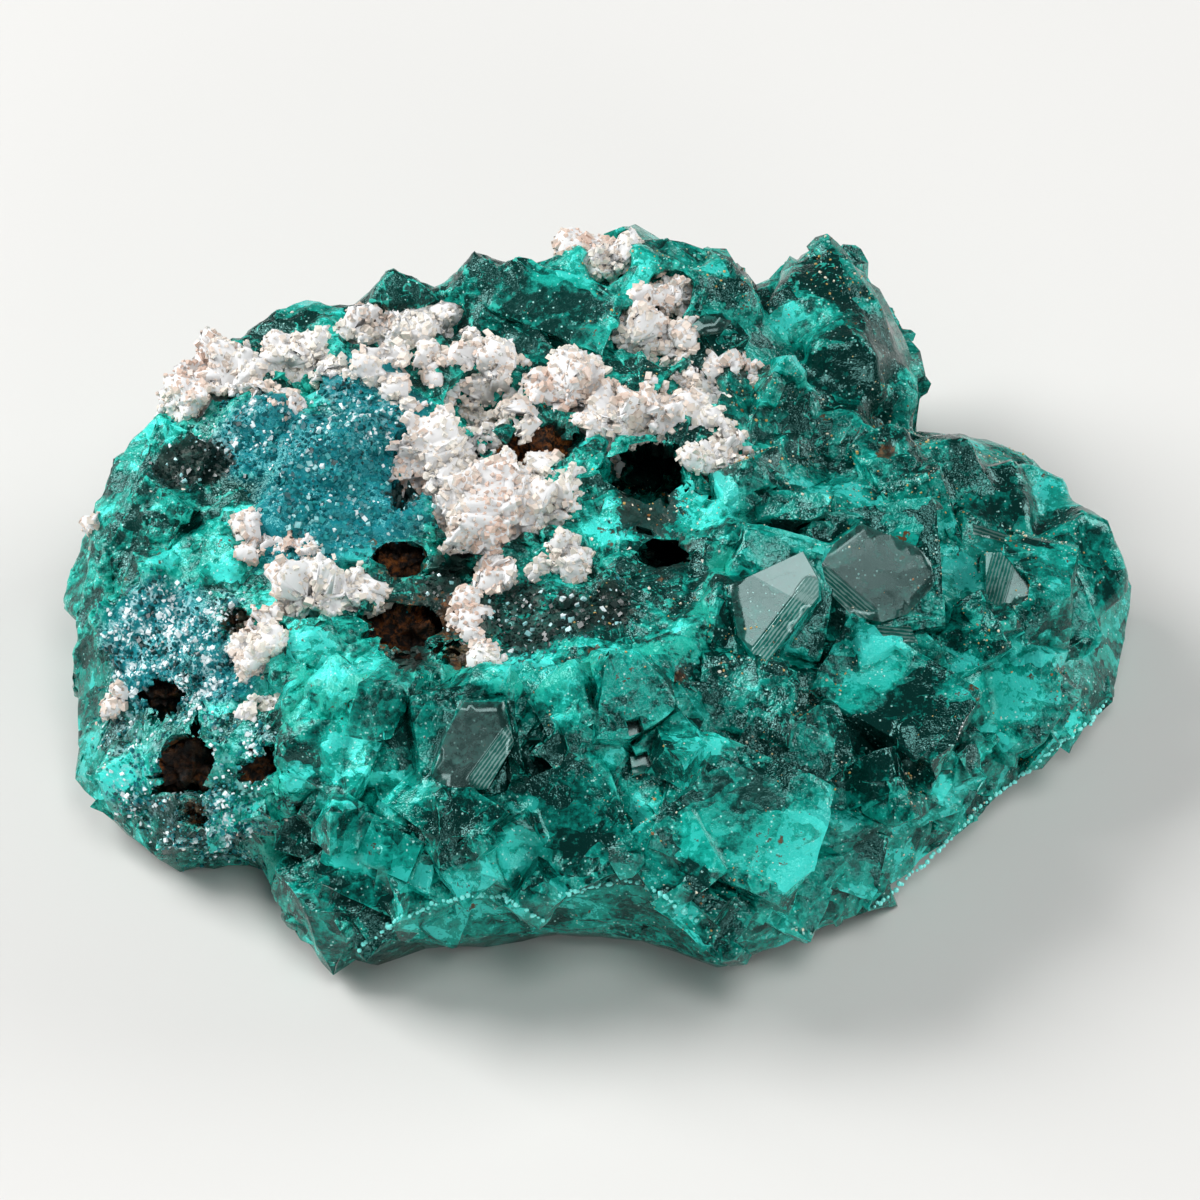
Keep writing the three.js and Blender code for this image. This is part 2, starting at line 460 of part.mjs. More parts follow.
function pitSolid({ at, size, depth }, random) {
  const top = 1.2;
  const centre = front(...at).addScaledVector(toViewer, (top - depth) / 2);
  return lump(centre, [size[0], size[1], (top + depth) / 2], random, 0.14);
}

// The brown rock that fills the bottom of a pit, cut back from the pit's walls.
function rockSolid({ at, size, depth, rockTop }, gap) {
  const half = (depth - rockTop) / 2 + seatGap;
  const centre = front(...at).addScaledVector(toViewer, -rockTop - half);
  const radii = [size[0], size[1], half].map((radius) => radius + gap / facetReach);
  return lump(centre, radii, seeded(seedOfSpecimen * 3), 0.1);
}

const table = solidFrom(new THREE.BoxGeometry(80, 80, 20).translate(0, 0, -10));
const random = seeded(seedOfSpecimen);
const grownOn = [
  ...largeCrystalSolids(),
  ...smallCrystalSolids(random),
  ...wallCrystalSolids(random),
  ...knobSolids(random),
];
const pitCuts = joined(pits.map((pit) => pitSolid(pit, random)));
const pockets = joined(Object.values(calciteMasses).map((mass) => calciteSolid(mass, seatGap)));
const rockyPits = pits.filter((pit) => pit.rock);
const rockSeats = rockyPits.map((pit) => rockSolid(pit, seatGap));
const crust = joined([crustBody(), ...grownOn]).subtract(joined([pitCuts, pockets, ...rockSeats, table]));

const largestBody = (solid) => solid.decompose().sort((a, b) => b.volume() - a.volume())[0];
const smoothedOut = 0.012; // edges shorter than this are merged

const materials = {
  dioptase: new THREE.MeshStandardMaterial({ color: 0x0b7f6c, roughness: 0.25, metalness: 0 }),
  calcite: new THREE.MeshStandardMaterial({ color: 0xe6ddd2, roughness: 0.8, metalness: 0 }),
  rock: new THREE.MeshStandardMaterial({ color: 0x3a241a, roughness: 0.9, metalness: 0 }),
};

function named(name, solid, material) {
  const body = largestBody(largestBody(solid).simplify(smoothedOut));
  const mesh = new THREE.Mesh(geometryFrom(body), material);
  mesh.name = name;
  return mesh;
}

const specimen = new THREE.Group();
specimen.name = "dioptase_specimen";
specimen.add(named("dioptase_crust", crust, materials.dioptase));
rockyPits.forEach((pit) => specimen.add(named(pit.rock, rockSolid(pit, 0), materials.rock)));
Object.entries(calciteMasses).forEach(([name, mass]) => {
  specimen.add(named(name, calciteSolid(mass, 0).subtract(pitCuts), materials.calcite));
});


const middle = new THREE.Box3().setFromObject(specimen).getCenter(new THREE.Vector3());
specimen.position.set(-middle.x, -middle.y, 0);

export default specimen;
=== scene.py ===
import bmesh
import bpy
import math
import numpy as np
from mathutils import Matrix, Vector, noise
from mathutils.bvhtree import BVHTree


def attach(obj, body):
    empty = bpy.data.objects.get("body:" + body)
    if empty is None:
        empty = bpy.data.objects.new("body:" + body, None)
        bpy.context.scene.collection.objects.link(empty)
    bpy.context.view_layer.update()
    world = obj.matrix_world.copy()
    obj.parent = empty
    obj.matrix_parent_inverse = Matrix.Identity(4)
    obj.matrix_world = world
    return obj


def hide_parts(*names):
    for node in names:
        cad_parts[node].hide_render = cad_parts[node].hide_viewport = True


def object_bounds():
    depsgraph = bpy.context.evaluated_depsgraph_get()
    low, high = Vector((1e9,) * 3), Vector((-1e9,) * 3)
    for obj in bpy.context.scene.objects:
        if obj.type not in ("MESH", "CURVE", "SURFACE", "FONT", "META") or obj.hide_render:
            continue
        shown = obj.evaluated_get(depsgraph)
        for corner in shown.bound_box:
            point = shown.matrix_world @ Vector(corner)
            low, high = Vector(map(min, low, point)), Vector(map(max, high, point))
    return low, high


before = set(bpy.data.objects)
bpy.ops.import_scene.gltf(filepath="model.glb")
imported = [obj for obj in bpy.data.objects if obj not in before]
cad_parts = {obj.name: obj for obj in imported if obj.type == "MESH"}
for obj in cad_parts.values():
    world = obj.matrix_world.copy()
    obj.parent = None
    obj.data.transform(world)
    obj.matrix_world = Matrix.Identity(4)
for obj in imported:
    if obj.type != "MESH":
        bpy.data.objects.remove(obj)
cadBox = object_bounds()
mm = 0.001

# The photograph looks down at the front by this much. A place on the specimen is [right, up] in mm on the
# photo's plane, and a ray from the viewer finds the surface there.
viewTilt = math.radians(45)
photoMiddle = Vector((0.23, 5.74, 0)) * mm  # the point of the table plane behind the photo's middle
rightward = Vector((1, 0, 0))
upward = Vector((0, math.sin(viewTilt), math.cos(viewTilt)))
towardViewer = Vector((0, -math.cos(viewTilt), math.sin(viewTilt)))
upAxis, viewAxis = np.array(upward), np.array(towardViewer)


def openMesh(*meshes):
    bm = bmesh.new()
    for mesh in meshes:
        bm.from_mesh(mesh)
    return bm


def closeMesh(bm, mesh):
    bm.to_mesh(mesh)
    bm.free()
    return mesh


def cadCopy(nodes, name):
    bm = openMesh(*[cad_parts[node].data for node in nodes])
    bmesh.ops.remove_doubles(bm, verts=bm.verts, dist=0.002 * mm)
    return closeMesh(bm, bpy.data.meshes.new(name))


def newObject(name, mesh):
    obj = bpy.data.objects.new(name, mesh)
    bpy.context.scene.collection.objects.link(obj)
    return obj


def asTree(mesh):
    corners = [v.co for v in mesh.vertices]
    return BVHTree.FromPolygons(corners, [p.vertices for p in mesh.polygons])


crustCopy = cadCopy(["dioptase_crust"], "crustCopy")
crustTree = asTree(crustCopy)
wellOut = 60  # mm in front of the photo's plane, outside the specimen


def planePoint(right, up, out=0.0):
    return photoMiddle + (rightward * right + upward * up + towardViewer * out) * mm


def surfaceAt(right, up):
    hit, normal, _, _ = crustTree.ray_cast(planePoint(right, up, wellOut), -towardViewer)
    if hit is None:
        hit, normal, _, _ = crustTree.find_nearest(planePoint(right, up, 6))
    return hit, normal


# Patches of the surface, each [right, up, radius] in mm.
patches = {
    "bright": [  # fractured, powdery turquoise
        (-4.1, -9.8, 1.0), (-1.7, -4.4, 0.9), (9.2, -3.5, 1.0), (10.6, -2.6, 1.0), (15.6, -4.0, 1.4),
        (-10.2, -7.8, 0.9), (-8.0, -8.0, 0.8), (-9.8, -10.2, 0.8), (-11.3, -4.7, 0.7), (-11.7, -7.0, 0.7),
        (-9.8, -5.1, 0.7), (0.0, 10.2, 0.7), (-0.7, 9.5, 0.6), (-4.5, 8.2, 0.6), (0.2, 2.4, 0.7),
        (-1.2, 12.6, 1.2), (7.8, 10.9, 1.3), (-12.3, -3.5, 0.8), (-10.5, -3.4, 0.8), (-8.4, -3.3, 0.8),
        (-6.2, -3.4, 0.8), (-3.9, -3.3, 0.8), (-1.6, -3.1, 0.9), (0.8, -2.8, 0.9), (3.1, -2.1, 0.8),
        (4.1, -0.4, 0.6), (4.5, 1.4, 0.7), (2.8, -12.6, 0.9), (6.5, -12.2, 1.0), (-12.6, -11.6, 0.9),
        (-11.0, -13.0, 0.9), (-18.2, 5.6, 1.0), (-20.0, 1.0, 1.0), (-17.0, 1.6, 0.8), (-14.8, 0.6, 0.7),
        (13.6, -3.2, 0.7), (18.0, -5.0, 0.8), (1.8, -8.0, 0.8), (3.9, -5.3, 1.1), (12.2, 8.6, 0.8),
        (-18.6, -6.8, 1.2), (-17.8, -9.0, 0.9), (-15.2, -4.8, 0.9), (-19.4, -8.2, 0.7), (-14.0, -8.6, 0.8),
        (12.6, -7.4, 0.7), (9.6, -8.8, 0.7), (14.2, -6.2, 0.8),
    ],
    "milky": [  # paler, clouded green
        (4.9, -9.0, 2.6), (7.0, -9.8, 1.8), (15.2, -4.4, 1.6), (9.6, -3.4, 1.4), (3.4, 3.4, 1.4),
        (6.2, 6.0, 1.6), (-1.0, 12.4, 1.6), (-9.2, -6.4, 2.0), (0.4, -6.4, 1.4),
    ],
    "deep": [  # clear, almost black green
        (-15.1, 4.7, 2.0), (-1.4, 10.4, 1.9), (1.6, 4.2, 2.2), (2.2, 1.3, 1.5), (12.5, 5.0, 1.4),
        (15.2, 4.2, 1.8), (-5.4, -5.5, 1.9), (-1.6, -9.0, 2.0), (6.3, -6.8, 1.7), (11.2, -4.8, 1.8),
        (12.0, -6.6, 1.0), (6.5, 0.0, 1.8), (10.6, 0.9, 2.3), (-5.7, -8.8, 1.5), (-8.2, 11.4, 1.8),
        (-5.3, 12.6, 1.5), (9.2, -7.0, 1.0), (9.8, 9.2, 2.0), (8.6, 5.6, 1.6), (8.2, -2.0, 1.2),
        (-6.0, -0.8, 2.2), (0.0, -0.6, 2.0), (-3.2, -6.9, 1.2), (-2.6, 10.4, 1.4), (-1.6, -6.2, 1.0),
        (7.8, -3.4, 1.3), (17.4, 0.6, 1.0), (19.0, 2.4, 1.6), (13.6, 7.4, 1.6), (11.6, 10.8, 1.6),
        (8.6, 12.2, 1.6), (10.8, 8.8, 1.8), (-2.2, 13.2, 1.2), (4.4, 9.6, 1.2), (4.9, -8.0, 1.0),
        (-12.6, 10.4, 1.2),
    ],
    "druse": [  # blue-teal sparkling crust
        (-10.2, 4.7, 3.2), (-11.7, 2.7, 2.0), (-8.6, 6.8, 1.6), (-17.2, -2.0, 2.2), (-13.6, 6.4, 1.8),
        (-14.6, -3.0, 1.3), (-9.6, 8.6, 1.6),
    ],
    "sugar": [  # white calcite grains
        (-6.8, 5.0, 1.8), (-5.0, 3.2, 2.1), (-2.8, 3.2, 1.4), (-4.7, 7.4, 1.6), (-5.0, 1.3, 0.8),
        (-1.6, 1.6, 0.8), (-1.3, 7.9, 1.3), (0.1, 6.8, 1.3), (1.8, 7.1, 1.1), (3.3, 7.9, 1.2),
        (4.9, 8.3, 0.9), (-5.0, 8.6, 1.3), (-9.8, 10.0, 0.9), (-8.2, 10.1, 0.9), (-6.6, 10.2, 0.9),
        (-16.6, 8.0, 1.0), (-15.4, 8.4, 1.1), (-14.3, 8.7, 0.9), (-11.9, 9.3, 1.1), (-14.8, 9.6, 0.6),
        (0.2, 13.0, 0.9), (2.6, 11.6, 0.9), (1.4, 10.2, 1.0), (2.3, 9.4, 0.8), (3.2, 7.2, 0.8),
        (5.3, 8.0, 0.7), (2.3, 6.4, 0.6), (4.5, 5.7, 0.8), (4.4, 4.5, 0.7), (-13.1, 2.3, 0.9),
        (-11.5, 0.6, 1.1), (-10.2, 0.0, 1.1), (-10.9, -0.6, 0.8), (-13.2, -2.1, 1.1), (-13.0, -4.3, 0.7),
        (-19.2, -4.3, 0.8), (-20.0, 2.7, 0.6), (-5.5, -0.8, 0.4), (-4.9, -1.8, 0.4), (-4.3, -2.7, 0.4),
        (8.5, 8.0, 0.35), (11.4, 8.1, 0.3), (-3.0, 7.2, 1.0), (-7.8, 7.6, 0.6), (-7.6, 5.3, 1.0),
        (-6.3, 4.2, 1.3), (-4.4, 2.6, 1.4), (-3.0, 2.4, 1.4), (-2.2, 3.6, 1.2), (-5.6, 6.4, 1.2),
        (-4.8, 5.2, 1.2), (-0.4, 7.4, 1.1), (-13.4, 8.2, 0.8), (-12.2, 7.4, 0.6), (-10.8, 8.6, 0.7),
        (-8.9, 9.2, 0.8), (-6.8, 9.0, 0.8), (2.6, 8.0, 0.9),
    ],
    "stain": [  # brown iron stain
        (-2.9, 5.4, 1.1), (-7.9, -1.5, 1.6), (-8.2, 1.1, 1.3), (-16.0, -6.4, 1.1), (-16.8, -7.0, 0.8),
        (-12.9, -6.8, 0.8), (-17.0, -4.0, 0.7), (-14.2, -1.1, 0.6), (-15.8, -8.4, 0.5), (-0.4, -2.3, 0.3),
        (2.7, -3.1, 0.3), (-5.9, -0.8, 0.9), (-5.6, -2.4, 0.5), (10.9, 5.5, 0.3),
    ],
    "pit": [  # hollows without grains, with painted shade darkening them inside
        (1.6, 4.8, 1.3), (1.6, 3.4, 1.3), (2.5, 1.4, 1.2), (-8.0, -1.7, 1.4), (-2.9, 5.4, 1.2),
        (-16.0, -6.5, 1.2), (-7.6, -2.7, 0.8), (-12.9, -6.8, 0.8), (-17.0, -4.0, 0.7), (-7.9, 4.9, 0.6),
        (-7.9, 3.9, 0.6), (-5.6, 1.1, 0.7), (-2.2, 5.7, 1.3), (-3.7, 5.4, 1.2), (-2.9, 5.0, 1.1),
    ],
    "rust": [(-2.9, 5.5, 1.9), (-8.4, 1.0, 0.9), (-7.0, -0.9, 0.6)],  # orange-brown parts of the rock
    "sooty": [  # dark grainy ground between the white masses and the front ridge
        (-6.4, -0.4, 1.2), (-4.8, -1.0, 1.2), (-3.0, -1.6, 1.2), (-1.4, -0.9, 1.2), (0.1, -0.6, 1.0),
        (-5.9, 0.9, 0.9), (-16.8, 4.8, 1.0), (-15.4, 5.2, 1.0), (-7.2, 4.0, 1.2), (-13.0, -1.9, 0.8),
        (-3.2, -0.2, 0.9),
    ],
    "frost": [  # pale blue-white specks on the lower western side
        (-17.6, -1.4, 1.8), (-16.2, -3.2, 1.6), (-19.0, -4.3, 1.1), (-14.9, -1.0, 1.1), (-18.8, -2.8, 1.1),
        (-15.0, -8.4, 0.9), (-18.4, -8.0, 0.6), (-14.2, -9.2, 0.7), (-16.2, -9.6, 0.7), (-13.4, -5.6, 0.6),
    ],
    "haze": [  # turquoise with scattered white specks
        (-17.6, -7.0, 2.6), (-14.4, -7.8, 2.0), (-15.2, -4.9, 1.5), (-18.8, -5.0, 1.6), (-14.8, -9.6, 1.8),
        (-9.6, 7.4, 2.2), (-14.6, 7.0, 2.0),
    ],
    "plain": [  # large flat faces that keep their polish
        (6.4, 0.2, 2.2), (5.4, -1.4, 1.4), (10.6, 1.0, 2.5), (18.6, 0.6, 2.6), (19.6, 3.0, 1.8),
        (19.4, -2.0, 1.6), (-5.6, -5.6, 2.2), (-1.9, -9.0, 2.0), (4.9, -8.6, 2.6), (10.8, -4.2, 2.0),
        (4.2, 10.2, 0.9), (-2.2, 11.2, 1.9), (14.6, -4.0, 1.3), (9.4, 8.8, 1.4), (-9.0, -10.2, 1.5),
        (15.6, 3.6, 1.4),
    ],
    "calm": [  # no small crystals grow here
        (12.9, 6.6, 2.4), (14.4, 6.0, 1.6), (3.6, 12.4, 1.4), (8.6, 12.0, 2.2), (11.2, 10.0, 2.4),
        (9.4, 8.4, 2.4), (-3.4, 13.4, 1.8), (-6.4, 12.6, 1.8), (-9.6, 11.6, 1.6), (18.0, 3.6, 2.2),
        (20.0, 0.0, 2.2), (1.0, 14.0, 1.6), (-14.0, 10.4, 1.6), (-17.6, 8.0, 1.6), (-19.8, 4.4, 1.8),
        (-20.6, 0.6, 1.8), (-11.2, -14.2, 1.3), (-8.2, 12.7, 1.6), (-4.9, 13.2, 1.6), (-20.8, -2.2, 1.4),
        (-19.6, -8.6, 1.4), (16.2, -7.4, 1.2),
    ],
}
patchPoints = {
    kind: [(surfaceAt(right, up)[0], radius * mm) for right, up, radius in spots]
    for kind, spots in patches.items()
}


def patchMask(points, kind):
    mask = np.zeros(len(points))
    depth = 0.35 if kind in ("stain", "pit", "rust") else 1.0  # those reach from a hollow's floor to its rim
    for centre, radius in patchPoints[kind]:
        offset = points - np.array(centre)
        out = offset @ viewAxis
        away = np.sqrt(np.sum(offset ** 2, axis=1) - (1 - depth ** 2) * out ** 2) / radius
        mask = np.maximum(mask, np.clip(1.5 - away, 0, 1))  # 1 within half the radius, 0 beyond 1.5 radii
    return mask


def fieldAt(points):
    # 1 in the blocky east, front wall and back, 0.2 on the drusy western top
    plane = points - np.array(photoMiddle)
    right, up, out = plane[:, 0] / mm, plane @ upAxis / mm, plane @ viewAxis / mm
    west = np.clip((6.0 - right) / 3, 0, 1) * np.clip((up + 3.6) / 1.0, 0, 1) * np.clip((out - 2.0) / 3, 0, 1)
    return 1 - 0.8 * west


def coordinates(mesh, kind="co"):
    flat = np.empty(len(mesh.vertices) * 3)
    mesh.vertices.foreach_get(kind, flat)
    return flat.reshape(-1, 3)


def moveTo(mesh, points):
    mesh.vertices.foreach_set("co", points.ravel())
    mesh.update()


def setAttribute(mesh, name, values):
    attribute = mesh.attributes.get(name) or mesh.attributes.new(name, "FLOAT", "POINT")
    attribute.data.foreach_set("value", np.asarray(values, dtype=np.float32))


def refine(mesh, limitAt, rounds):
    # splits edges that are longer than the limit at their middle
    bm = openMesh(mesh)
    for _ in range(rounds):
        bm.edges.ensure_lookup_table()
        ends = np.array([[*e.verts[0].co, *e.verts[1].co] for e in bm.edges])
        lengths = np.linalg.norm(ends[:, :3] - ends[:, 3:], axis=1)
        limits = limitAt((ends[:, :3] + ends[:, 3:]) / 2)
        longEdges = [bm.edges[i] for i in np.nonzero(lengths > limits)[0]]
        if not longEdges:
            break
        bmesh.ops.subdivide_edges(bm, edges=longEdges, cuts=1)
        bmesh.ops.triangulate(bm, faces=[f for f in bm.faces if len(f.verts) > 3])
    closeMesh(bm, mesh)


def fractal(point, size, octaves=3):
    return noise.fractal(Vector(point) / (size * mm), 0.9, 2.1, octaves, noise_basis="BLENDER")


def fractals(points, size, octaves=3):
    return np.array([fractal(point, size, octaves) for point in points])


def resultOf(obj):
    return bpy.data.meshes.new_from_object(obj.evaluated_get(bpy.context.evaluated_depsgraph_get()))


# Node helpers


def newTree(name, sizes):
    tree = bpy.data.node_groups.new(name, "GeometryNodeTree")
    for way in ("INPUT", "OUTPUT"):
        tree.interface.new_socket("Geometry", in_out=way, socket_type="NodeSocketGeometry")
    for label, value in sizes.items():
        kind = "NodeSocketInt" if isinstance(value, int) else "NodeSocketFloat"
        tree.interface.new_socket(label, in_out="INPUT", socket_type=kind).default_value = value
    return tree


def put(tree, socket, value):
    if isinstance(value, bpy.types.NodeSocket):
        tree.links.new(value, socket)
    else:
        socket.default_value = value


def addNode(tree, kind, inputs=None, **settings):
    node = tree.nodes.new(kind)
    for key, value in settings.items():
        setattr(node, key, value)
    for key, value in (inputs or {}).items():
        put(tree, node.inputs[key], value)
    return node


def mathNode(tree, operation, *values, clamp=False):
    values = dict(enumerate(values))
    return addNode(tree, "ShaderNodeMath", values, operation=operation, use_clamp=clamp).outputs[0]


def vectorNode(tree, operation, *values):
    return addNode(tree, "ShaderNodeVectorMath", dict(enumerate(values)), operation=operation).outputs


def scaled(tree, vector, factor):
    return addNode(tree, "ShaderNodeVectorMath", {0: vector, "Scale": factor}, operation="SCALE").outputs[0]


def runTree(obj, tree, sizes):
    modifier = obj.modifiers.new(tree.name, "NODES")
    modifier.node_group = tree
    for item in tree.interface.items_tree:
        if item.in_out == "INPUT" and item.name in sizes:
            modifier[item.identifier] = sizes[item.name]
    mesh = resultOf(obj)
    obj.modifiers.remove(modifier)
    return mesh


def randomBetween(tree, least, most, seed, vector=False):
    node = addNode(tree, "FunctionNodeRandomValue", data_type="FLOAT_VECTOR" if vector else "FLOAT")
    low, high = (0, 1) if vector else (2, 3)
    put(tree, node.inputs[low], least)
    put(tree, node.inputs[high], most)
    node.inputs["Seed"].default_value = seed
    return node.outputs[0 if vector else 1]


def scatterTree(name, sizes, maskName, shapes, material=None, union=None):
    # small bodies spread over a surface where a painted mask allows, each turned and sized at random
    tree = newTree(name, sizes)
    given = tree.nodes.new("NodeGroupInput").outputs

    def node(kind, inputs, **settings):
        return addNode(tree, kind, inputs, **settings).outputs

    mask = node("GeometryNodeInputNamedAttribute", {"Name": maskName}, data_type="FLOAT")["Attribute"]
    spread = node("GeometryNodeDistributePointsOnFaces", {
        "Mesh": given["Geometry"], "Distance Min": given["Spacing"], "Density Max": given["Density"],
        "Density Factor": mask, "Seed": given["Seed"],
    }, distribute_method="POISSON")
    jitter = randomBetween(tree, (-1, -1, -1), (1, 1, 1), 11, vector=True)
    heading = vectorNode(tree, "ADD", spread["Normal"], scaled(tree, jitter, given["Lean"]))[0]
    turned = node("FunctionNodeAlignRotationToVector", {"Vector": heading}, axis="Z")[0]
    spin = node("ShaderNodeCombineXYZ", {"Z": randomBetween(tree, 0.0, 2 * math.pi, 12)})[0]
    turning = {"Rotation": turned, "Rotate By": spin}
    spun = node("FunctionNodeRotateRotation", turning, rotation_space="LOCAL")[0]
    depth = randomBetween(tree, given["Deepest"], given["Highest"], 13)
    sunk = scaled(tree, spread["Normal"], depth)
    moved = node("GeometryNodeSetPosition", {"Geometry": spread["Points"], "Offset": sunk})[0]
    forms = node("GeometryNodeCollectionInfo", {"Collection": shapes, "Separate Children": True})[0]
    stretch = randomBetween(tree, (0.75, 0.75, 0.75), (1.3, 1.3, 1.3), 14, vector=True)
    uneven = mathNode(tree, "POWER", randomBetween(tree, 0.0, 1.0, 15), 2.0)
    span = node("ShaderNodeMapRange", {"Value": uneven, "To Min": given["Least"], "To Max": given["Most"]})[0]
    tapered = node("ShaderNodeMapRange", {"Value": mask, "From Max": 0.8, "To Min": 0.35, "To Max": 1.0})[0]
    size = scaled(tree, stretch, mathNode(tree, "MULTIPLY", span, tapered))
    last = node("GeometryNodeInstanceOnPoints", {
        "Points": moved, "Instance": forms, "Pick Instance": True, "Rotation": spun, "Scale": size,
    })[0]
    if union:  # one skin with the body, cut level with the table
        body = node("GeometryNodeObjectInfo", {"Object": union})["Geometry"]
        joined = addNode(tree, "GeometryNodeMeshBoolean", operation="UNION", solver="MANIFOLD")
        tree.links.new(body, joined.inputs[1])
        tree.links.new(last, joined.inputs[1])
        table = node("GeometryNodeMeshCube", {"Size": (0.1, 0.1, 0.02)})[0]
        below = node("GeometryNodeTransform", {"Geometry": table, "Translation": (0, 0, -0.01)})[0]
        levelled = addNode(tree, "GeometryNodeMeshBoolean", operation="DIFFERENCE", solver="MANIFOLD")
        tree.links.new(joined.outputs[0], levelled.inputs[0])
        tree.links.new(below, levelled.inputs[1])
        last = levelled.outputs[0]
    else:
        last = node("GeometryNodeStoreNamedAttribute", {
            "Geometry": last, "Name": "shade", "Value": randomBetween(tree, 0.0, 1.0, 16),
        }, data_type="FLOAT", domain="INSTANCE")[0]
        last = node("GeometryNodeRealizeInstances", {0: last})[0]
    if material:
        last = node("GeometryNodeSetMaterial", {"Geometry": last, "Material": material})[0]
    tree.links.new(last, tree.nodes.new("NodeGroupOutput").inputs[0])
    return tree


# Small bodies that the trees spread


def formMesh(name, bm):
    bmesh.ops.recalc_face_normals(bm, faces=bm.faces)
    return closeMesh(bm, bpy.data.meshes.new(name))


def crystalForm(name, wide, tall, deep, cuts, sunk=0.0):
    # a rhombohedron a few degrees from square, with corners cut off by planes: (direction, distance)
    bm = bmesh.new()
    bmesh.ops.create_cube(bm, size=1.0)
    shear = Matrix(((1, 0.09, 0.09), (0, 1, 0.09), (0, 0, 1))).to_4x4()
    bmesh.ops.transform(bm, matrix=Matrix.Diagonal((wide, tall, deep, 1)) @ shear, verts=bm.verts)
    for direction, distance in cuts:
        across = Vector(direction).normalized()
        cut = bmesh.ops.bisect_plane(
            bm, geom=bm.verts[:] + bm.edges[:] + bm.faces[:], plane_co=across * distance, plane_no=across,
            clear_outer=True,
        )
        rim = [e for e in cut["geom_cut"] if isinstance(e, bmesh.types.BMEdge)]
        bmesh.ops.holes_fill(bm, edges=rim)
    bmesh.ops.triangulate(bm, faces=bm.faces)
    bmesh.ops.translate(bm, verts=bm.verts, vec=(0, 0, -sunk))
    return formMesh(name, bm)


def formCollection(name, meshes):
    # kept out of the scene, so only its instances show
    collection = bpy.data.collections.new(name)
    for mesh in meshes:
        collection.objects.link(bpy.data.objects.new(mesh.name, mesh))
    return collection


blockForms = formCollection("blockForms", [
    crystalForm("block", 1.1, 0.9, 0.9,
                [((1, 1, 1), 0.55), ((-1, 0.2, 0.9), 0.42), ((0.2, -1, 0.8), 0.48)], 0.26),
    crystalForm("slab", 1.4, 1.0, 0.6, [((1, -1, 0.5), 0.55), ((-0.6, 0.4, 1), 0.34)], 0.13),
    crystalForm("wedge", 1.3, 0.8, 0.9,
                [((1, 0.2, 1.1), 0.36), ((-0.8, 0.6, 0.6), 0.5), ((0, -1, 1), 0.5)], 0.24),
    crystalForm("shard", 1.0, 0.8, 1.0,
                [((0.4, 0.8, 1), 0.34), ((-1, 0.1, 0.8), 0.4), ((0.9, -0.7, 0.5), 0.5)], 0.22),
])
grainForms = formCollection("grainForms", [
    crystalForm("grainBlock", 1.0, 1.0, 0.9, []),
    crystalForm("grainWedge", 1.0, 0.8, 0.9, [((1, 0.4, 1), 0.42)]),
    crystalForm("grainPlate", 1.1, 0.9, 0.5, [((-1, 0.6, 0.8), 0.45)]),
])


def ballForm(name, detail, flat):
    bm = bmesh.new()
    bmesh.ops.create_icosphere(bm, subdivisions=detail, radius=0.5)
    bmesh.ops.transform(bm, matrix=Matrix.Diagonal((1, 1, flat, 1)), verts=bm.verts)
    return formMesh(name, bm)


knobForms = formCollection("knobForms", [ballForm("knob", 1, 0.9), ballForm("flatKnob", 1, 0.6)])
lumpForms = formCollection("lumpForms", [
    ballForm("lumpBall", 1, 0.7),
    crystalForm("lumpBlock", 1.0, 0.9, 0.6, [((1, 0.3, 0.8), 0.45)]),
    crystalForm("lumpSlab", 1.2, 0.8, 0.45, [((-0.6, 0.8, 0.7), 0.4)]),
])


def voxelMesh(mesh, voxel, name):
    # one closed skin round everything in the mesh; the remesher works in millimetres
    mesh.transform(Matrix.Scale(1000, 4))
    obj = newObject(name, mesh)
    modifier = obj.modifiers.new("remesh", "REMESH")
    modifier.mode = "VOXEL"
    modifier.voxel_size = voxel
    modifier.use_smooth_shade = True
    skin = resultOf(obj)
    bpy.data.objects.remove(obj)
    skin.transform(Matrix.Scale(0.001, 4))
    return skin


# The dioptase crust: the CAD solid with smaller crystals and knobs grown on it, in one skin

blocks = {"Spacing": 1.7 * mm, "Density": 2e6, "Least": 1.0 * mm, "Most": 3.6 * mm, "Lean": 0.18,
          "Deepest": -0.25 * mm, "Highest": -0.08 * mm, "Seed": 7}
fringe = {"Spacing": 1.0 * mm, "Density": 3e6, "Least": 0.5 * mm, "Most": 1.5 * mm, "Lean": 0.16,
          "Deepest": -0.2 * mm, "Highest": -0.1 * mm, "Seed": 12}
bumps = {"Spacing": 0.75 * mm, "Density": 4e6, "Least": 0.5 * mm, "Most": 1.5 * mm, "Lean": 0.3,
         "Deepest": -0.25 * mm, "Highest": -0.03 * mm, "Seed": 8}
crust = {"guideEdge": 0.8, "edge": 0.6, "roughEdge": 0.4, "hiddenEdge": 1.2, "rough": 0.17, "grainSize": 0.6,
         "wave": 0.13, "waveSize": 1.8, "underside": 0.4, "undersideSize": 1.6, "base": 0.05, "headroom": 0.3,
         "ridgeLift": 0.5, "ridgeWidth": 1.1, "sharpAngle": 26, "softening": 14, "hiddenBack": 9,
         "hiddenFoot": 1}
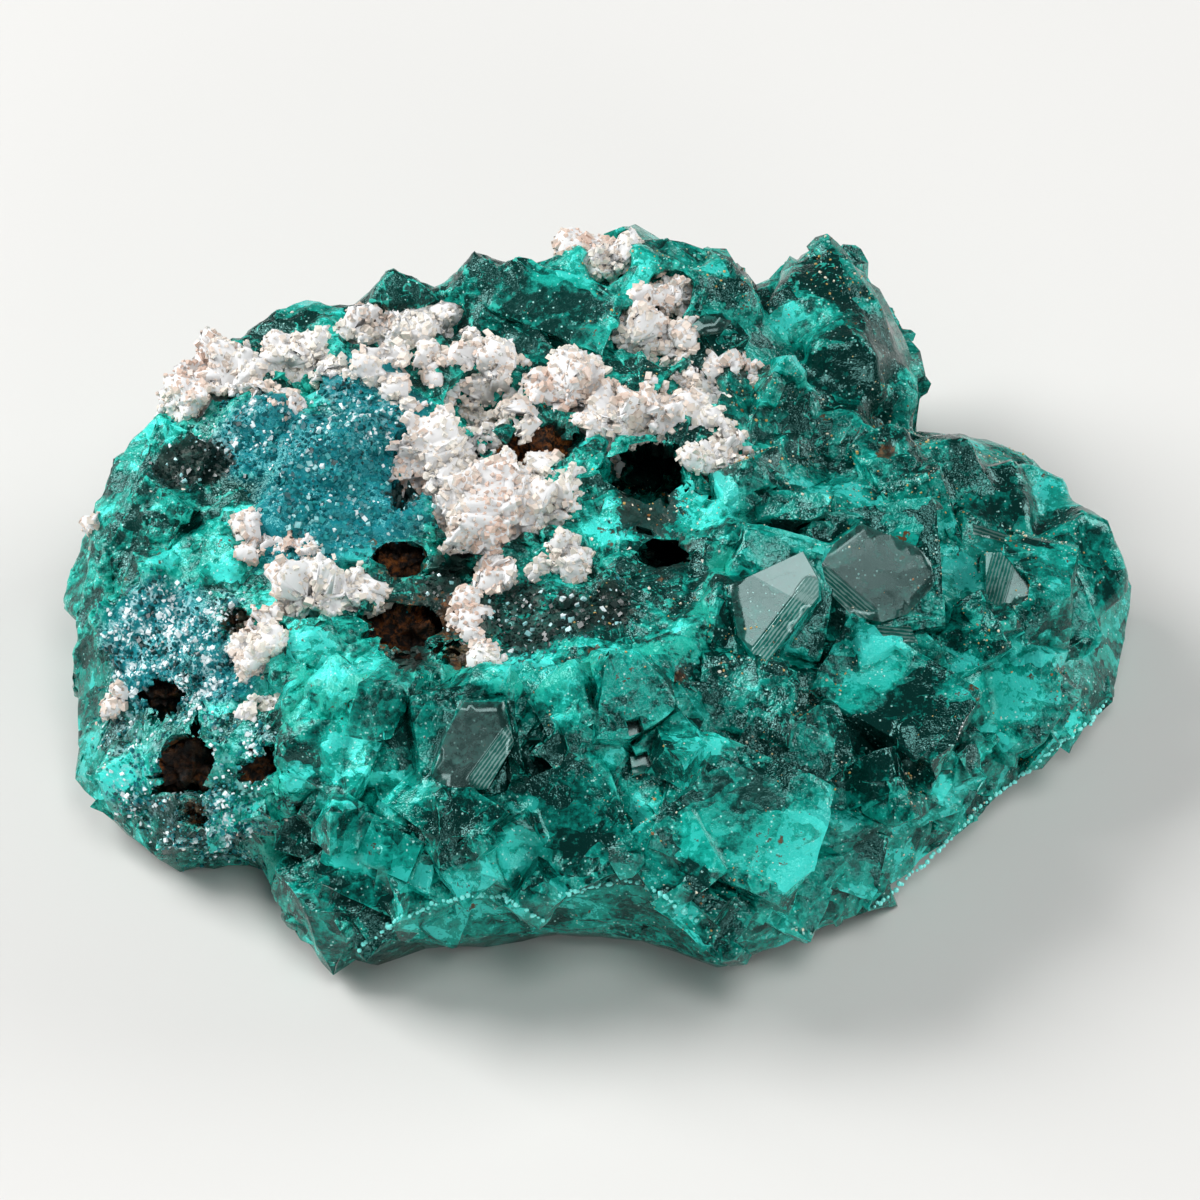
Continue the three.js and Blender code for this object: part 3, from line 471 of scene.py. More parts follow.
caves = [  # [right, up], half sizes across and up, and how far in front of and behind the surface
    ((1.7, 4.2), (2.1, 2.6), 3.4, 3.4), ((2.6, 1.5), (1.8, 1.1), 2.2, 2.4),
    ((-15.6, -11.4), (2.2, 1.3), 3.0, 4.0), ((-8.1, -1.4), (1.5, 1.1), 4.5, 1.2),
    ((-7.4, -2.6), (1.2, 0.8), 4.5, 0.9), ((-6.2, -2.0), (0.8, 0.6), 3.0, 0.6),
    ((-2.6, 5.5), (1.5, 1.2), 4.5, 1.0), ((-3.8, 6.0), (0.9, 0.9), 4.5, 0.9),
    ((-15.6, -6.0), (0.8, 1.4), 4.5, 1.0), ((-16.3, -7.0), (1.5, 0.7), 4.5, 1.0),
    ((-12.9, -6.7), (1.1, 0.9), 4.5, 1.0), ((-12.4, -7.6), (0.5, 0.7), 3.5, 0.7),
    ((-17.0, -4.1), (0.7, 1.0), 4.0, 0.9), ((-16.2, -3.4), (0.7, 0.5), 3.0, 0.6),
    ((-7.9, 4.4), (0.6, 1.5), 1.4, 0.7), ((-5.6, 1.1), (1.5, 0.8), 1.6, 0.9),
    ((-8.6, 1.4), (1.3, 0.7), 1.6, 0.7), ((-14.3, -1.1), (0.8, 0.9), 1.4, 0.7),
    ((-15.8, -8.5), (1.0, 0.6), 1.3, 0.6),
]
faces = [  # large flat faces: outline [right, up], lean of the plane right and up, height over the crust
    ([(4.7, 0.3), (7.5, 1.6), (8.1, 0.5), (8.1, -0.1), (6.0, -2.8), (5.0, -1.6)], (0.06, 0.19), 0.5),
    ([(8.1, 1.0), (8.6, 1.8), (9.8, 2.7), (12.0, 1.8), (12.5, 1.2), (12.6, 0.3), (11.6, -0.8),
     (10.6, -1.1), (9.5, -0.9), (8.3, 0.3)], (0.13, 0.12), 0.45),
    ([(-6.1, -5.4), (-5.4, -4.1), (-3.9, -4.1), (-3.5, -5.7), (-4.5, -7.4), (-6.0, -7.4),
     (-6.6, -6.9)], (0.15, 0.1), 0.65),
    ([(14.7, 1.6), (15.3, 1.6), (16.4, 0.3), (16.3, -0.3), (15.5, -0.6), (14.7, -0.4)], (0.02, 0.17), 0.4),
    ([(3.3, 10.5), (3.9, 10.9), (4.9, 10.7), (4.5, 10.2), (3.8, 10.1)], (0.06, 0.2), 0.35),
    ([(14.3, 2.75), (15.9, 2.2), (15.8, 1.9), (14.3, 2.3)], (0.05, 0.2), 0.3),
    ([(10.0, -1.35), (11.7, -1.25), (12.0, -1.9), (10.5, -2.0)], (0.05, 0.17), 0.3),
    ([(0.6, -5.0), (1.2, -4.8), (1.4, -5.4), (0.8, -5.6)], (0.05, 0.2), 0.3),
    ([(0.9, -6.2), (1.5, -6.1), (1.7, -6.7), (1.0, -6.9)], (0.05, 0.2), 0.3),
]
ridgeLines = [  # turquoise rims between the top and the front wall, and the fin beside the cave
    [(-12.3, -3.2), (-10.5, -3.9), (-8.4, -3.6), (-6.2, -3.5), (-3.9, -3.4), (-1.6, -3.1), (0.8, -2.8),
     (3.1, -2.1), (4.2, -0.4), (4.5, 1.4), (4.6, 2.6)],
    [(-12.9, -9.0), (-12.4, -7.4), (-11.9, -5.4), (-11.6, -3.6)],
    [(-14.6, -11.2), (-12.9, -9.6), (-11.9, -12.0), (-10.6, -14.0)],
]


def lineMask(points, lines, width):
    # 1 on the lines, 0 beyond the width
    nearest = np.full(len(points), 1e9)
    for line in lines:
        spots = [np.array(surfaceAt(*spot)[0]) for spot in line]
        for start, end in zip(spots, spots[1:]):
            along = end - start
            share = np.clip((points - start) @ along / (along @ along), 0, 1)
            nearest = np.minimum(nearest, np.linalg.norm(points - start - share[:, None] * along, axis=1))
    return np.clip(1.3 - 1.3 * nearest / (width * mm), 0, 1)


def masksAt(points):
    masks = {kind: patchMask(points, kind) for kind in patches}
    masks["ridge"] = lineMask(points, ridgeLines, crust["ridgeWidth"])
    masks["field"] = fieldAt(points)
    masks["frost"] = np.maximum(masks["frost"], 0.42 * masks["haze"])
    masks["top"] = np.clip(points[:, 2] / (1.2 * mm) - 0.3, 0, 1)  # fades in over the lowest 1.5 mm
    masks["under"] = np.clip(1.5 - points[:, 2] / (0.6 * mm), 0, 1)  # fades out by 0.9 mm
    return masks


def paintCrust(mesh):
    masks = masksAt(coordinates(mesh))
    for kind, mask in masks.items():
        setAttribute(mesh, kind, mask)
    return masks


def caveCutters():
    bm = bmesh.new()
    for (right, up), (across, high), near, far in caves:
        centre = surfaceAt(right, up)[0] + towardViewer * (near - far) / 2 * mm
        ball = bmesh.ops.create_icosphere(bm, subdivisions=4, radius=1.0)["verts"]
        for vert in ball:
            ragged = noise.fractal(vert.co * 1.9 + centre * 900, 0.5, 2.1, 5)  # its own shape at each place
            spot = vert.co * min(1.5, max(0.5, 1 + 0.8 * ragged))
            vert.co = centre + (rightward * spot.x * across + upward * spot.y * high
                                + towardViewer * spot.z * (near + far) / 2) * mm
    return formMesh("caveCutters", bm)


def facePlane(outline, lean, lift):
    middle = [sum(spot[axis] for spot in outline) / len(outline) for axis in (0, 1)]
    point = surfaceAt(*middle)[0] + towardViewer * lift * mm
    return point, (towardViewer + rightward * lean[0] + upward * lean[1]).normalized()


def onPlane(point, normal, right, up):
    start = planePoint(right, up)
    return start + towardViewer * (point - start).dot(normal) / towardViewer.dot(normal)


def facePrisms(near, far, flare):
    # for each large face a prism from near to far in front of its plane, its far end wider by flare
    bm = bmesh.new()
    for outline, lean, lift in faces:
        point, normal = facePlane(outline, lean, lift)
        rim = [onPlane(point, normal, *corner) for corner in outline]
        middle = sum(rim, Vector()) / len(rim)
        ends = [[bm.verts.new(corner + normal * near * mm) for corner in rim],
                [bm.verts.new(middle + (corner - middle) * flare + normal * far * mm) for corner in rim]]
        for end in ends:
            bm.faces.new(end)
        for i in range(len(rim)):
            after = (i + 1) % len(rim)
            bm.faces.new((ends[0][i], ends[0][after], ends[1][after], ends[1][i]))
    return formMesh("facePrisms", bm)


def combine(mesh, otherMesh, operation):
    body, other = newObject("body", mesh), newObject("other", otherMesh)
    modifier = body.modifiers.new("combine", "BOOLEAN")
    modifier.operation = operation
    modifier.solver = "MANIFOLD"
    modifier.object = other
    result = resultOf(body)
    bpy.data.objects.remove(body)
    bpy.data.objects.remove(other)
    return result


def growCrust():
    guide = crustCopy.copy()
    refine(guide, lambda points: np.full(len(points), crust["guideEdge"] * mm), 6)
    masks = paintCrust(guide)
    calm = np.maximum(masks["plain"], masks["calm"])
    free = masks["top"] * np.clip(1 - calm - 0.6 * masks["sugar"] - masks["pit"], 0, 1)
    facing = coordinates(guide, "normal") @ viewAxis
    large = np.clip(2.4 * (facing - 0.2), 0, 1)  # large ones in front, small ones at the outline and behind
    setAttribute(guide, "blocky", free * large * masks["field"])
    setAttribute(guide, "fringed", free * (1 - 0.75 * large) * masks["field"])
    setAttribute(guide, "knobby", free * (1 - masks["field"]) * (1 - masks["druse"] * 0.7))
    obj = newObject("guide", guide)
    body = newObject("crustBody", crustCopy)
    for name, sizes, maskName, forms in (
        ("growBlocks", blocks, "blocky", blockForms),
        ("growFringe", fringe, "fringed", blockForms),
        ("growBumps", bumps, "knobby", knobForms),
    ):
        body.data = runTree(obj, scatterTree(name, sizes, maskName, forms, union=body), sizes)
    grown = combine(body.data, caveCutters(), "DIFFERENCE")
    grown = combine(grown, facePrisms(0.0, 4.0, 1.0), "DIFFERENCE")  # clears the space before the large faces
    grown = combine(grown, facePrisms(0.01, -2.2, 1.25), "UNION")  # and fills in behind them
    bpy.data.objects.remove(obj)
    bpy.data.objects.remove(body)
    bm = openMesh(grown)
    bmesh.ops.triangulate(bm, faces=bm.faces)
    bmesh.ops.dissolve_degenerate(bm, dist=0.01 * mm, edges=bm.edges)
    bmesh.ops.triangulate(bm, faces=bm.faces)
    closeMesh(bm, grown)
    print("crystals grown:", len(grown.polygons), "triangles")
    refine(grown, edgeLimit, 5)
    return grown


def roughness(points, masks):
    west = 0.7 * (1 - masks["field"])
    shares = {"druse": 1.0, "stain": 1.0, "ridge": 1.0, "sugar": 0.8, "bright": 0.6}
    rough = np.maximum.reduce([west, *[share * masks[kind] for kind, share in shares.items()]])
    return np.maximum(rough, 0.3) * (1 - 0.9 * masks["plain"])


def onFaces(points):
    # 1 on the large flat faces
    inside = np.zeros(len(points))
    for outline, lean, lift in faces:
        point, normal = facePlane(outline, lean, lift)
        near = np.abs((points - np.array(point)) @ np.array(normal)) < 0.03 * mm  # in the face's plane
        reach = max(math.dist(a, b) for a in outline for b in outline) * 0.62 * mm
        inside[near & (np.linalg.norm(points - np.array(point), axis=1) < reach)] = 1
    return inside


def edgeLimit(points):
    hidden = (points[:, 1] > crust["hiddenBack"] * mm) | (points[:, 2] < crust["hiddenFoot"] * mm)
    smooth = np.where(hidden, crust["hiddenEdge"], crust["edge"])
    return np.where(roughness(points, masksAt(points)) > 0.4, crust["roughEdge"], smooth) * mm


def softened(mesh, points, share, rounds):
    # each round moves points by their share of the way to the middle of their neighbours
    ends = np.empty(len(mesh.edges) * 2, dtype=np.int32)
    mesh.edges.foreach_get("vertices", ends)
    first, second = ends.reshape(-1, 2).T
    count = np.bincount(first, minlength=len(points)) + np.bincount(second, minlength=len(points))
    for _ in range(rounds):
        total = np.zeros_like(points)
        for axis in range(3):
            total[:, axis] = (np.bincount(first, points[second, axis], len(points))
                              + np.bincount(second, points[first, axis], len(points)))
        points = points + (total / np.maximum(count, 1)[:, None] - points) * share[:, None]
    return points


def roughenCrust(mesh):
    points = coordinates(mesh)
    masks = masksAt(points)
    flat = onFaces(points)
    setAttribute(mesh, "polished", flat)
    calm = 0.5 * masks["calm"] * (1 - flat) * masks["top"]
    points = softened(mesh, points, calm, crust["softening"])
    moveTo(mesh, points.copy())
    lift = fractals(points, crust["grainSize"]) * (roughness(points, masks) * crust["rough"])
    lift += fractals(points, crust["waveSize"], 2) * (crust["wave"] * (1 - 0.7 * masks["plain"]))
    lift += masks["ridge"] * crust["ridgeLift"]
    lift *= np.clip(points[:, 2] / mm, 0, 1) * (1 - 0.95 * flat)
    raised = points + coordinates(mesh, "normal") * (lift * mm)[:, None]
    for i in np.nonzero(points[:, 2] < crust["base"] * mm)[0]:
        raised[i, 2] = max(0.0, fractal(points[i], crust["undersideSize"])) * crust["underside"] * mm
    raised[:, 2] = np.clip(raised[:, 2], 0, cadBox[1][2] + crust["headroom"] * mm)
    moveTo(mesh, raised)


def markEdges(mesh):
    # 1 on sharp outer edges, painted paler, partly as chipped edges and partly as light showing through the
    # thin crystal; and 1 in the creases between crystals, which take painted shade
    bm = openMesh(mesh)
    edges, creviceShading = np.zeros(len(bm.verts)), np.zeros(len(bm.verts))
    least = math.radians(crust["sharpAngle"])
    for edge in bm.edges:
        if len(edge.link_faces) == 2 and edge.calc_face_angle() > least:
            for vert in edge.verts:
                (edges if edge.is_convex else creviceShading)[vert.index] = 1
    bm.free()
    setAttribute(mesh, "edge", edges)
    setAttribute(mesh, "crevice", creviceShading * (1 - edges))


grown = growCrust()
roughenCrust(grown)
masks = paintCrust(grown)
markEdges(grown)
grown.shade_smooth()
grown.set_sharp_from_angle(angle=math.radians(crust["sharpAngle"]))
print("crust:", len(grown.polygons), "triangles")


# Shader helpers. Colours are given as they look on a screen.


def screenColour(code):
    parts = [int(code[i:i + 2], 16) / 255 for i in (0, 2, 4)]
    return (*[c / 12.92 if c <= 0.04045 else ((c + 0.055) / 1.055) ** 2.4 for c in parts], 1)


def stepUp(tree, value, low, high):
    # 0 below low, 1 above high
    node = addNode(tree, "ShaderNodeMapRange", {"Value": value, "From Min": low, "From Max": high})
    return node.outputs[0]


def blendColour(tree, share, under, over):
    node = addNode(tree, "ShaderNodeMix", data_type="RGBA")
    for index, value in ((0, share), (6, under), (7, over)):
        put(tree, node.inputs[index], screenColour(value) if isinstance(value, str) else value)
    return node.outputs[2]


def inMillimetres(tree, place):
    return scaled(tree, place, 1000.0)


def noiseAt(tree, place, perMm, detail=4.0, roughness=0.5):
    inputs = {"Vector": place, "Scale": perMm, "Detail": detail, "Roughness": roughness}
    return addNode(tree, "ShaderNodeTexNoise", inputs).outputs[0]


def painted(tree, name):
    return addNode(tree, "ShaderNodeAttribute", attribute_name=name).outputs["Fac"]


def newGroup(name, inputs, outputs):
    # inputs without a value are vectors; the other inputs, and all outputs, are numbers
    group = bpy.data.node_groups.new(name, "ShaderNodeTree")
    for label, value in inputs.items():
        kind = "NodeSocketVector" if value is None else "NodeSocketFloat"
        socket = group.interface.new_socket(label, in_out="INPUT", socket_type=kind)
        if value is not None:
            socket.default_value = value
    for label in outputs:
        group.interface.new_socket(label, in_out="OUTPUT", socket_type="NodeSocketFloat")
    return group, group.nodes.new("NodeGroupInput").outputs, group.nodes.new("NodeGroupOutput").inputs


def buildShards():
    # a mosaic of flat broken facets: each cell tilts its own way and has its own shade
    inputs = {"Place": None, "Per mm": 2.0, "Stretch": 0.6}
    group, given, wanted = newGroup("brokenFacets", inputs, ["Shade", "Height"])
    shape = addNode(group, "ShaderNodeCombineXYZ", {"X": given["Stretch"], "Y": 1.0, "Z": 1.0}).outputs[0]
    stretched = vectorNode(group, "MULTIPLY", given["Place"], shape)[0]
    turning = {"Vector": stretched, "Axis": (0.5, 0.3, 0.8), "Angle": 0.9}
    turned = addNode(group, "ShaderNodeVectorRotate", turning, rotation_type="AXIS_ANGLE").outputs[0]
    cells = addNode(group, "ShaderNodeTexVoronoi", {"Vector": turned, "Scale": given["Per mm"]}).outputs
    lean = vectorNode(group, "SUBTRACT", cells["Color"], (0.5, 0.5, 0.5))[0]
    away = vectorNode(group, "SUBTRACT", turned, cells["Position"])[0]
    shade = addNode(group, "ShaderNodeSeparateColor", {0: cells["Color"]}).outputs[0]
    group.links.new(shade, wanted["Shade"])
    group.links.new(vectorNode(group, "DOT_PRODUCT", lean, away)["Value"], wanted["Height"])
    return group


def buildSpecks():
    # scattered small round specks, 1 inside and 0 outside
    group, given, wanted = newGroup("specks", {"Place": None, "Per mm": 2.0, "Share": 0.3}, ["Mask"])
    spots = {"Vector": inMillimetres(group, given["Place"]), "Scale": given["Per mm"]}
    cells = addNode(group, "ShaderNodeTexVoronoi", spots).outputs
    chance = addNode(group, "ShaderNodeSeparateColor", {0: cells["Color"]}).outputs[1]
    kept = mathNode(group, "LESS_THAN", chance, given["Share"])
    near = stepUp(group, cells["Distance"], 0.34, 0.22)
    group.links.new(mathNode(group, "MULTIPLY", kept, near), wanted["Mask"])
    return group


shardGroup = buildShards()
speckGroup = buildSpecks()


def useGroup(tree, group, **values):
    node = addNode(tree, "ShaderNodeGroup", node_tree=group)
    for label, value in values.items():
        put(tree, node.inputs[label.replace("_", " ")], value)
    return node.outputs


def newMaterial(name):
    material = bpy.data.materials.new(name)
    material.use_nodes = True
    tree = material.node_tree
    tree.nodes.clear()
    output = tree.nodes.new("ShaderNodeOutputMaterial")
    shader = tree.nodes.new("ShaderNodeBsdfPrincipled")
    tree.links.new(shader.outputs[0], output.inputs["Surface"])
    return material, tree, shader, output, tree.nodes.new("ShaderNodeTexCoord").outputs["Object"]


def dress(tree, shader, colour, rough, height=None, relief=1.0):
    # height times relief in mm is the depth of the bump
    put(tree, shader.inputs["Base Color"], colour)
    put(tree, shader.inputs["Roughness"], rough)
    if height:
        bump = addNode(tree, "ShaderNodeBump", {"Height": height, "Distance": relief * mm, "Strength": 1.0})
        tree.links.new(bump.outputs[0], shader.inputs["Normal"])


dioptase = {
    "ior": 1.66,
    "gloss": (0.35, 0.88, 0.82, 1),
    "faceGloss": (0.62, 0.86, 0.84, 1),
    "stainGloss": (0.4, 0.4, 0.36, 1),
    "absorbing": 1600.0,
    "passing": (0.02, 0.83, 0.76, 1),
    "deep": "002c27",
    "dark": "02655a",
    "body": "10a796",
    "bright": "42e2d6",
    "glint": "b9f3ec",
    "veinAndEdgeLight": "35c9b5",
    "blueTeal": "15808a",
    "frost": "b4dde2",
    "ridge": "20ae99",
    "faceReflectionGrey": "33504c",
    "stepHighlight": "a3c4bf",
    "paleReflectingHalf": "8d9b9a",
    "stain": "2a1a0d",
    "rust": "6b4220",
    "sooty": "122a27",
    "pit": "0a1e1b",
    "underside": "3c4a3e",
}


steps = {"halfBand": 0.5, "fade": 0.1, "hairline": 0.04, "perMm": 7.4}
growthSteps = [  # stepped edges: which of the faces, middle [right, up], run across in degrees, half length
    (0, (6.75, -1.3), -38, 1.9), (0, (7.75, 0.1), -38, 0.6), (1, (9.1, -0.1), 49, 1.5),
    (5, (15.1, 2.3), 72, 1.0), (2, (-4.2, -6.3), -36, 1.4), (3, (15.2, 0.6), -16, 1.2),
    (6, (11.0, -1.6), 85, 1.0),
]
paleReflectingHalf = (0, (6.65, 0.08), 61, 2.3)  # the upper right of the first face is paler, a painted reflection standing for a second, slightly tilted plate, with the same four values


def buildSteps():
    # fine parallel steps in a short band: 1 inside the band, their saw profile, and 1 beyond the middle
    inputs = {"Place": None, "Middle": None, "Across": None, "Reach": 0.0015}
    group, given, wanted = newGroup("growthSteps", inputs, ["Band", "Saw", "Half"])
    away = vectorNode(group, "SUBTRACT", given["Place"], given["Middle"])[0]
    along = vectorNode(group, "DOT_PRODUCT", away, given["Across"])["Value"]
    reach = mathNode(group, "DIVIDE", vectorNode(group, "LENGTH", away)["Value"], given["Reach"])
    near = stepUp(group, reach, 1.0, 0.8)
    halfBand = steps["halfBand"] * mm
    inBand = stepUp(group, mathNode(group, "ABSOLUTE", along), halfBand, halfBand - steps["fade"] * mm)
    beyond = stepUp(group, along, 0.0, steps["hairline"] * mm)
    saw = mathNode(group, "FRACT", mathNode(group, "MULTIPLY", along, steps["perMm"] / mm))
    group.links.new(mathNode(group, "MULTIPLY", near, inBand), wanted["Band"])
    group.links.new(mathNode(group, "MULTIPLY", near, beyond), wanted["Half"])
    group.links.new(saw, wanted["Saw"])
    return group


stepGroup = buildSteps()


def useSteps(tree, place, face, spot, turn, reach):
    middle = onPlane(*facePlane(*faces[face]), *spot)
    turn = math.radians(turn)
    across = rightward * math.cos(turn) + upward * math.sin(turn)
    return useGroup(tree, stepGroup, Place=place, Middle=middle, Across=across, Reach=reach * mm)


def allSteps(tree, place):
    band, saw = 0.0, 0.0
    for values in growthSteps:
        steps = useSteps(tree, place, *values)
        band = mathNode(tree, "MAXIMUM", steps["Band"], band)
        saw = mathNode(tree, "MAXIMUM", mathNode(tree, "MULTIPLY", steps["Saw"], steps["Band"]), saw)
    return band, saw


def crystalMaterial(name, clear, polish, gloss, reflectionGreyed=0.0):
    # polish is its roughness, gloss the tint of its reflections, and greyed is the share of painted grey
    # reflection on the large faces
    material, tree, shader, output, place = newMaterial(name)
    inMm = inMillimetres(tree, place)
    sway = noiseAt(tree, inMm, 1.6, 1.0, 0.7)  # bends the facets and clouds
    swayed = addNode(tree, "ShaderNodeMix", {0: 0.35, 4: inMm, 5: sway}, data_type="VECTOR").outputs[1]
    clouds = noiseAt(tree, swayed, 0.7, 3.0, 0.62)
    fine = noiseAt(tree, inMm, 2.8, 3.0, 0.75)
    large = useGroup(tree, shardGroup, Place=swayed, Per_mm=0.5, Stretch=0.6)
    small = useGroup(tree, shardGroup, Place=swayed, Per_mm=1.7, Stretch=0.5)

    def times(first, second):
        return mathNode(tree, "MULTIPLY", first, second)

    def blend(share, kind, colour, strength=1.0):
        if strength < 1:
            share = mathNode(tree, "MULTIPLY", share, strength, clamp=True)
        return blendColour(tree, share, colour, dioptase[kind])

    def weighed(*parts):
        total = 0.0
        for value, weight in parts:
            total = mathNode(tree, "ADD", times(value, weight), total)
        return total

    # how bright each place is: broken facets, clouds and the painted patches, with painted shade in the
    # creases between crystals and, partly, painted light along thin edges
    broken = mathNode(tree, "SUBTRACT", 1.0, times(painted(tree, "plain"), 0.7), clamp=True)
    mosaic = 0.14 if reflectionGreyed else 0.34
    patchWeights = {"bright": 0.28, "milky": 0.14, "deep": -0.26, "edge": 0.07, "crevice": -0.2}
    level = weighed(
        (large["Shade"], mosaic), (small["Shade"], mosaic), (0.52 - 2 * mosaic, 0.5),
        (clouds, 1.1), (fine, 1.0),
        (stepUp(tree, large["Height"], 0.08, 0.09), 0.3 * mosaic),
        (stepUp(tree, small["Height"], 0.02, 0.024), 0.4 * mosaic),
        *[(painted(tree, kind), weight) for kind, weight in patchWeights.items()],
    )
    colour = blendColour(tree, stepUp(tree, level, 1.15, 1.31), dioptase["deep"], dioptase["dark"])
    colour = blend(stepUp(tree, level, 1.31, 1.53), "body", colour)
    colour = blend(times(stepUp(tree, level, 1.62, 1.65), broken), "bright", colour)

    # pale edges, partly chipped and partly painted light showing through the thin crystal; veins; painted
    # glints standing for sparkling reflections; and the turquoise rim
    edges = stepUp(tree, weighed((painted(tree, "edge"), 1.0), (fine, 0.9)), 1.42, 1.52)
    colour = blend(times(edges, broken), "veinAndEdgeLight", colour, 0.75)
    fromVein = mathNode(tree, "ABSOLUTE", mathNode(tree, "SUBTRACT", clouds, 0.53))
    veins = times(stepUp(tree, fromVein, 0.012, 0.003), broken)
    colour = blend(times(veins, stepUp(tree, fine, 0.5, 0.58)), "veinAndEdgeLight", colour, 0.8)
    glints = useGroup(tree, speckGroup, Place=place, Per_mm=7.0, Share=0.2)["Mask"]
    colour = blend(times(glints, stepUp(tree, fine, 0.48, 0.54)), "glint", colour, 0.9)
    ridge = stepUp(tree, weighed((painted(tree, "ridge"), 0.8), (clouds, 1.0), (fine, 0.8)), 1.3, 1.46)
    colour = blend(ridge, "ridge", colour, 0.85)

    # druse, frost, the dark and brown ground, and painted shade in the hollows
    colour = blend(stepUp(tree, painted(tree, "druse"), 0.2, 0.6), "blueTeal", colour)
    frosting = times(stepUp(tree, painted(tree, "frost"), 0.2, 0.7), stepUp(tree, fine, 0.5, 0.6))
    colour = blend(frosting, "frost", colour, 0.9)
    patchy = weighed((clouds, 1.6), (fine, 1.8), (1.0, -1.7))
    brown = blendColour(tree, stepUp(tree, fine, 0.5, 0.6), dioptase["stain"], dioptase["rust"])
    grounds = {"pit": (dioptase["pit"], 0.95), "sooty": (dioptase["sooty"], 0.92), "stain": (brown, 0.92)}
    for kind, (over, share) in grounds.items():
        amount = stepUp(tree, mathNode(tree, "ADD", painted(tree, kind), patchy), 0.42, 0.6)
        colour = blendColour(tree, times(amount, share), colour, over)

    # relief; the large faces are greyer from a painted grey reflection, paler on the upper right of the first
    # from a painted reflection, and smoother, with growth steps
    uneven = 0.15 if reflectionGreyed else 1.0
    height = times(weighed((small["Height"], 0.34 * uneven), (fine, 0.1 * uneven ** 2.4)), broken)
    if reflectionGreyed:
        grey = stepUp(tree, weighed((clouds, 1.4), (fine, 0.6)), 0.7, 1.1)
        colour = blend(grey, "faceReflectionGrey", colour, reflectionGreyed)
        colour = blend(useSteps(tree, place, *paleReflectingHalf)["Half"], "paleReflectingHalf", colour, 0.6)
        # the growth steps are real; their lighter band and pale lines are painted highlights off the step
        # edges
        band, saw = allSteps(tree, place)
        colour = blend(band, "body", colour, 0.25)
        lines = stepUp(tree, mathNode(tree, "ADD", saw, times(fine, 1.6)), 1.3, 1.5)
        colour = blend(times(band, lines), "stepHighlight", colour, 0.6)
        height = mathNode(tree, "ADD", height, times(saw, 0.04))
    colour = blend(times(painted(tree, "under"), stepUp(tree, clouds, 0.4, 0.6)), "underside", colour)
    dress(tree, shader, colour, mathNode(tree, "MULTIPLY_ADD", fine, polish * 2, polish * 0.2), height)
    shader.inputs["IOR"].default_value = dioptase["ior"]
    shader.inputs["Specular IOR Level"].default_value = 0.45
    shader.inputs["Specular Tint"].default_value = gloss
    shader.inputs["Transmission Weight"].default_value = clear
    absorption = {"Color": dioptase["passing"], "Density": dioptase["absorbing"]}
    inside = addNode(tree, "ShaderNodeVolumeAbsorption", absorption)
    tree.links.new(inside.outputs[0], output.inputs["Volume"])
    return material


clearCrystal = crystalMaterial("clearCrystal", 0.28, 0.1, dioptase["gloss"])
cloudyCrystal = crystalMaterial("cloudyCrystal", 0.0, 0.22, dioptase["gloss"])
stainedCrust = crystalMaterial("stainedCrust", 0.0, 0.4, dioptase["stainGloss"])
polishedCrystal = crystalMaterial("polishedCrystal", 0.28, 0.15, dioptase["faceGloss"], reflectionGreyed=0.7)


def slotFaces(mesh, choices):
    # faces whose corners average above a threshold take that choice's slot: (slot, values, threshold)
    corners = np.empty(len(mesh.loops), dtype=np.int32)
    mesh.loops.foreach_get("vertex_index", corners)
    slots = np.zeros(len(mesh.polygons), dtype=np.int32)
    for slot, values, threshold in choices:
        slots[np.asarray(values)[corners.reshape(-1, 3)].mean(axis=1) > threshold] = slot
    mesh.polygons.foreach_set("material_index", slots)


cloudy = np.maximum.reduce([masks["druse"], masks["stain"], masks["sooty"], masks["pit"], masks["ridge"],
                            masks["bright"] * 0.9, masks["milky"] * 0.8, 0.6 - 0.6 * masks["field"]])
grown.materials.clear()
for material in (clearCrystal, cloudyCrystal, polishedCrystal, stainedCrust):
    grown.materials.append(material)
stained = np.maximum.reduce([masks["stain"], masks["sooty"], masks["pit"]])
stained += 0.4 * fractals(coordinates(grown), 0.8)
polished = np.empty(len(grown.vertices), dtype=np.float32)
grown.attributes["polished"].data.foreach_get("value", polished)
slotFaces(grown, [(1, cloudy, 0.45), (3, stained, 0.5), (2, polished, 0.9)])


def addPiece(name, mesh, slot, *nodes):
    piece = newObject(name, mesh)
    if nodes:
        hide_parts(*nodes)
    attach(piece, "root")
    points = coordinates(mesh)
    points[:, 2] = np.maximum(points[:, 2], 0)
    moveTo(mesh, points)
    print(name, len(mesh.polygons), "faces")
    return piece


crystalsPiece = addPiece("dioptaseCrystals", grown, "dioptase", "dioptase_crust")


def addScattered(name, piece, sizes, maskName, forms, material, slot):
    # a piece of small bodies spread over another piece
    tree = scatterTree(name, sizes, maskName, forms, material)
    addPiece(name, runTree(piece, tree, sizes), slot)


def nodesNamed(start):
    return [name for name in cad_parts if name.startswith(start)]


def flattened(mesh, share):
    # what stands over the crust keeps this share of its height
    points = coordinates(mesh)
    for i, point in enumerate(points):
        hit, normal, _, _ = crustTree.find_nearest(Vector(point))
        away = Vector(point) - hit
        if away.dot(normal) > 0:
            points[i] = hit + away * share
    moveTo(mesh, points)


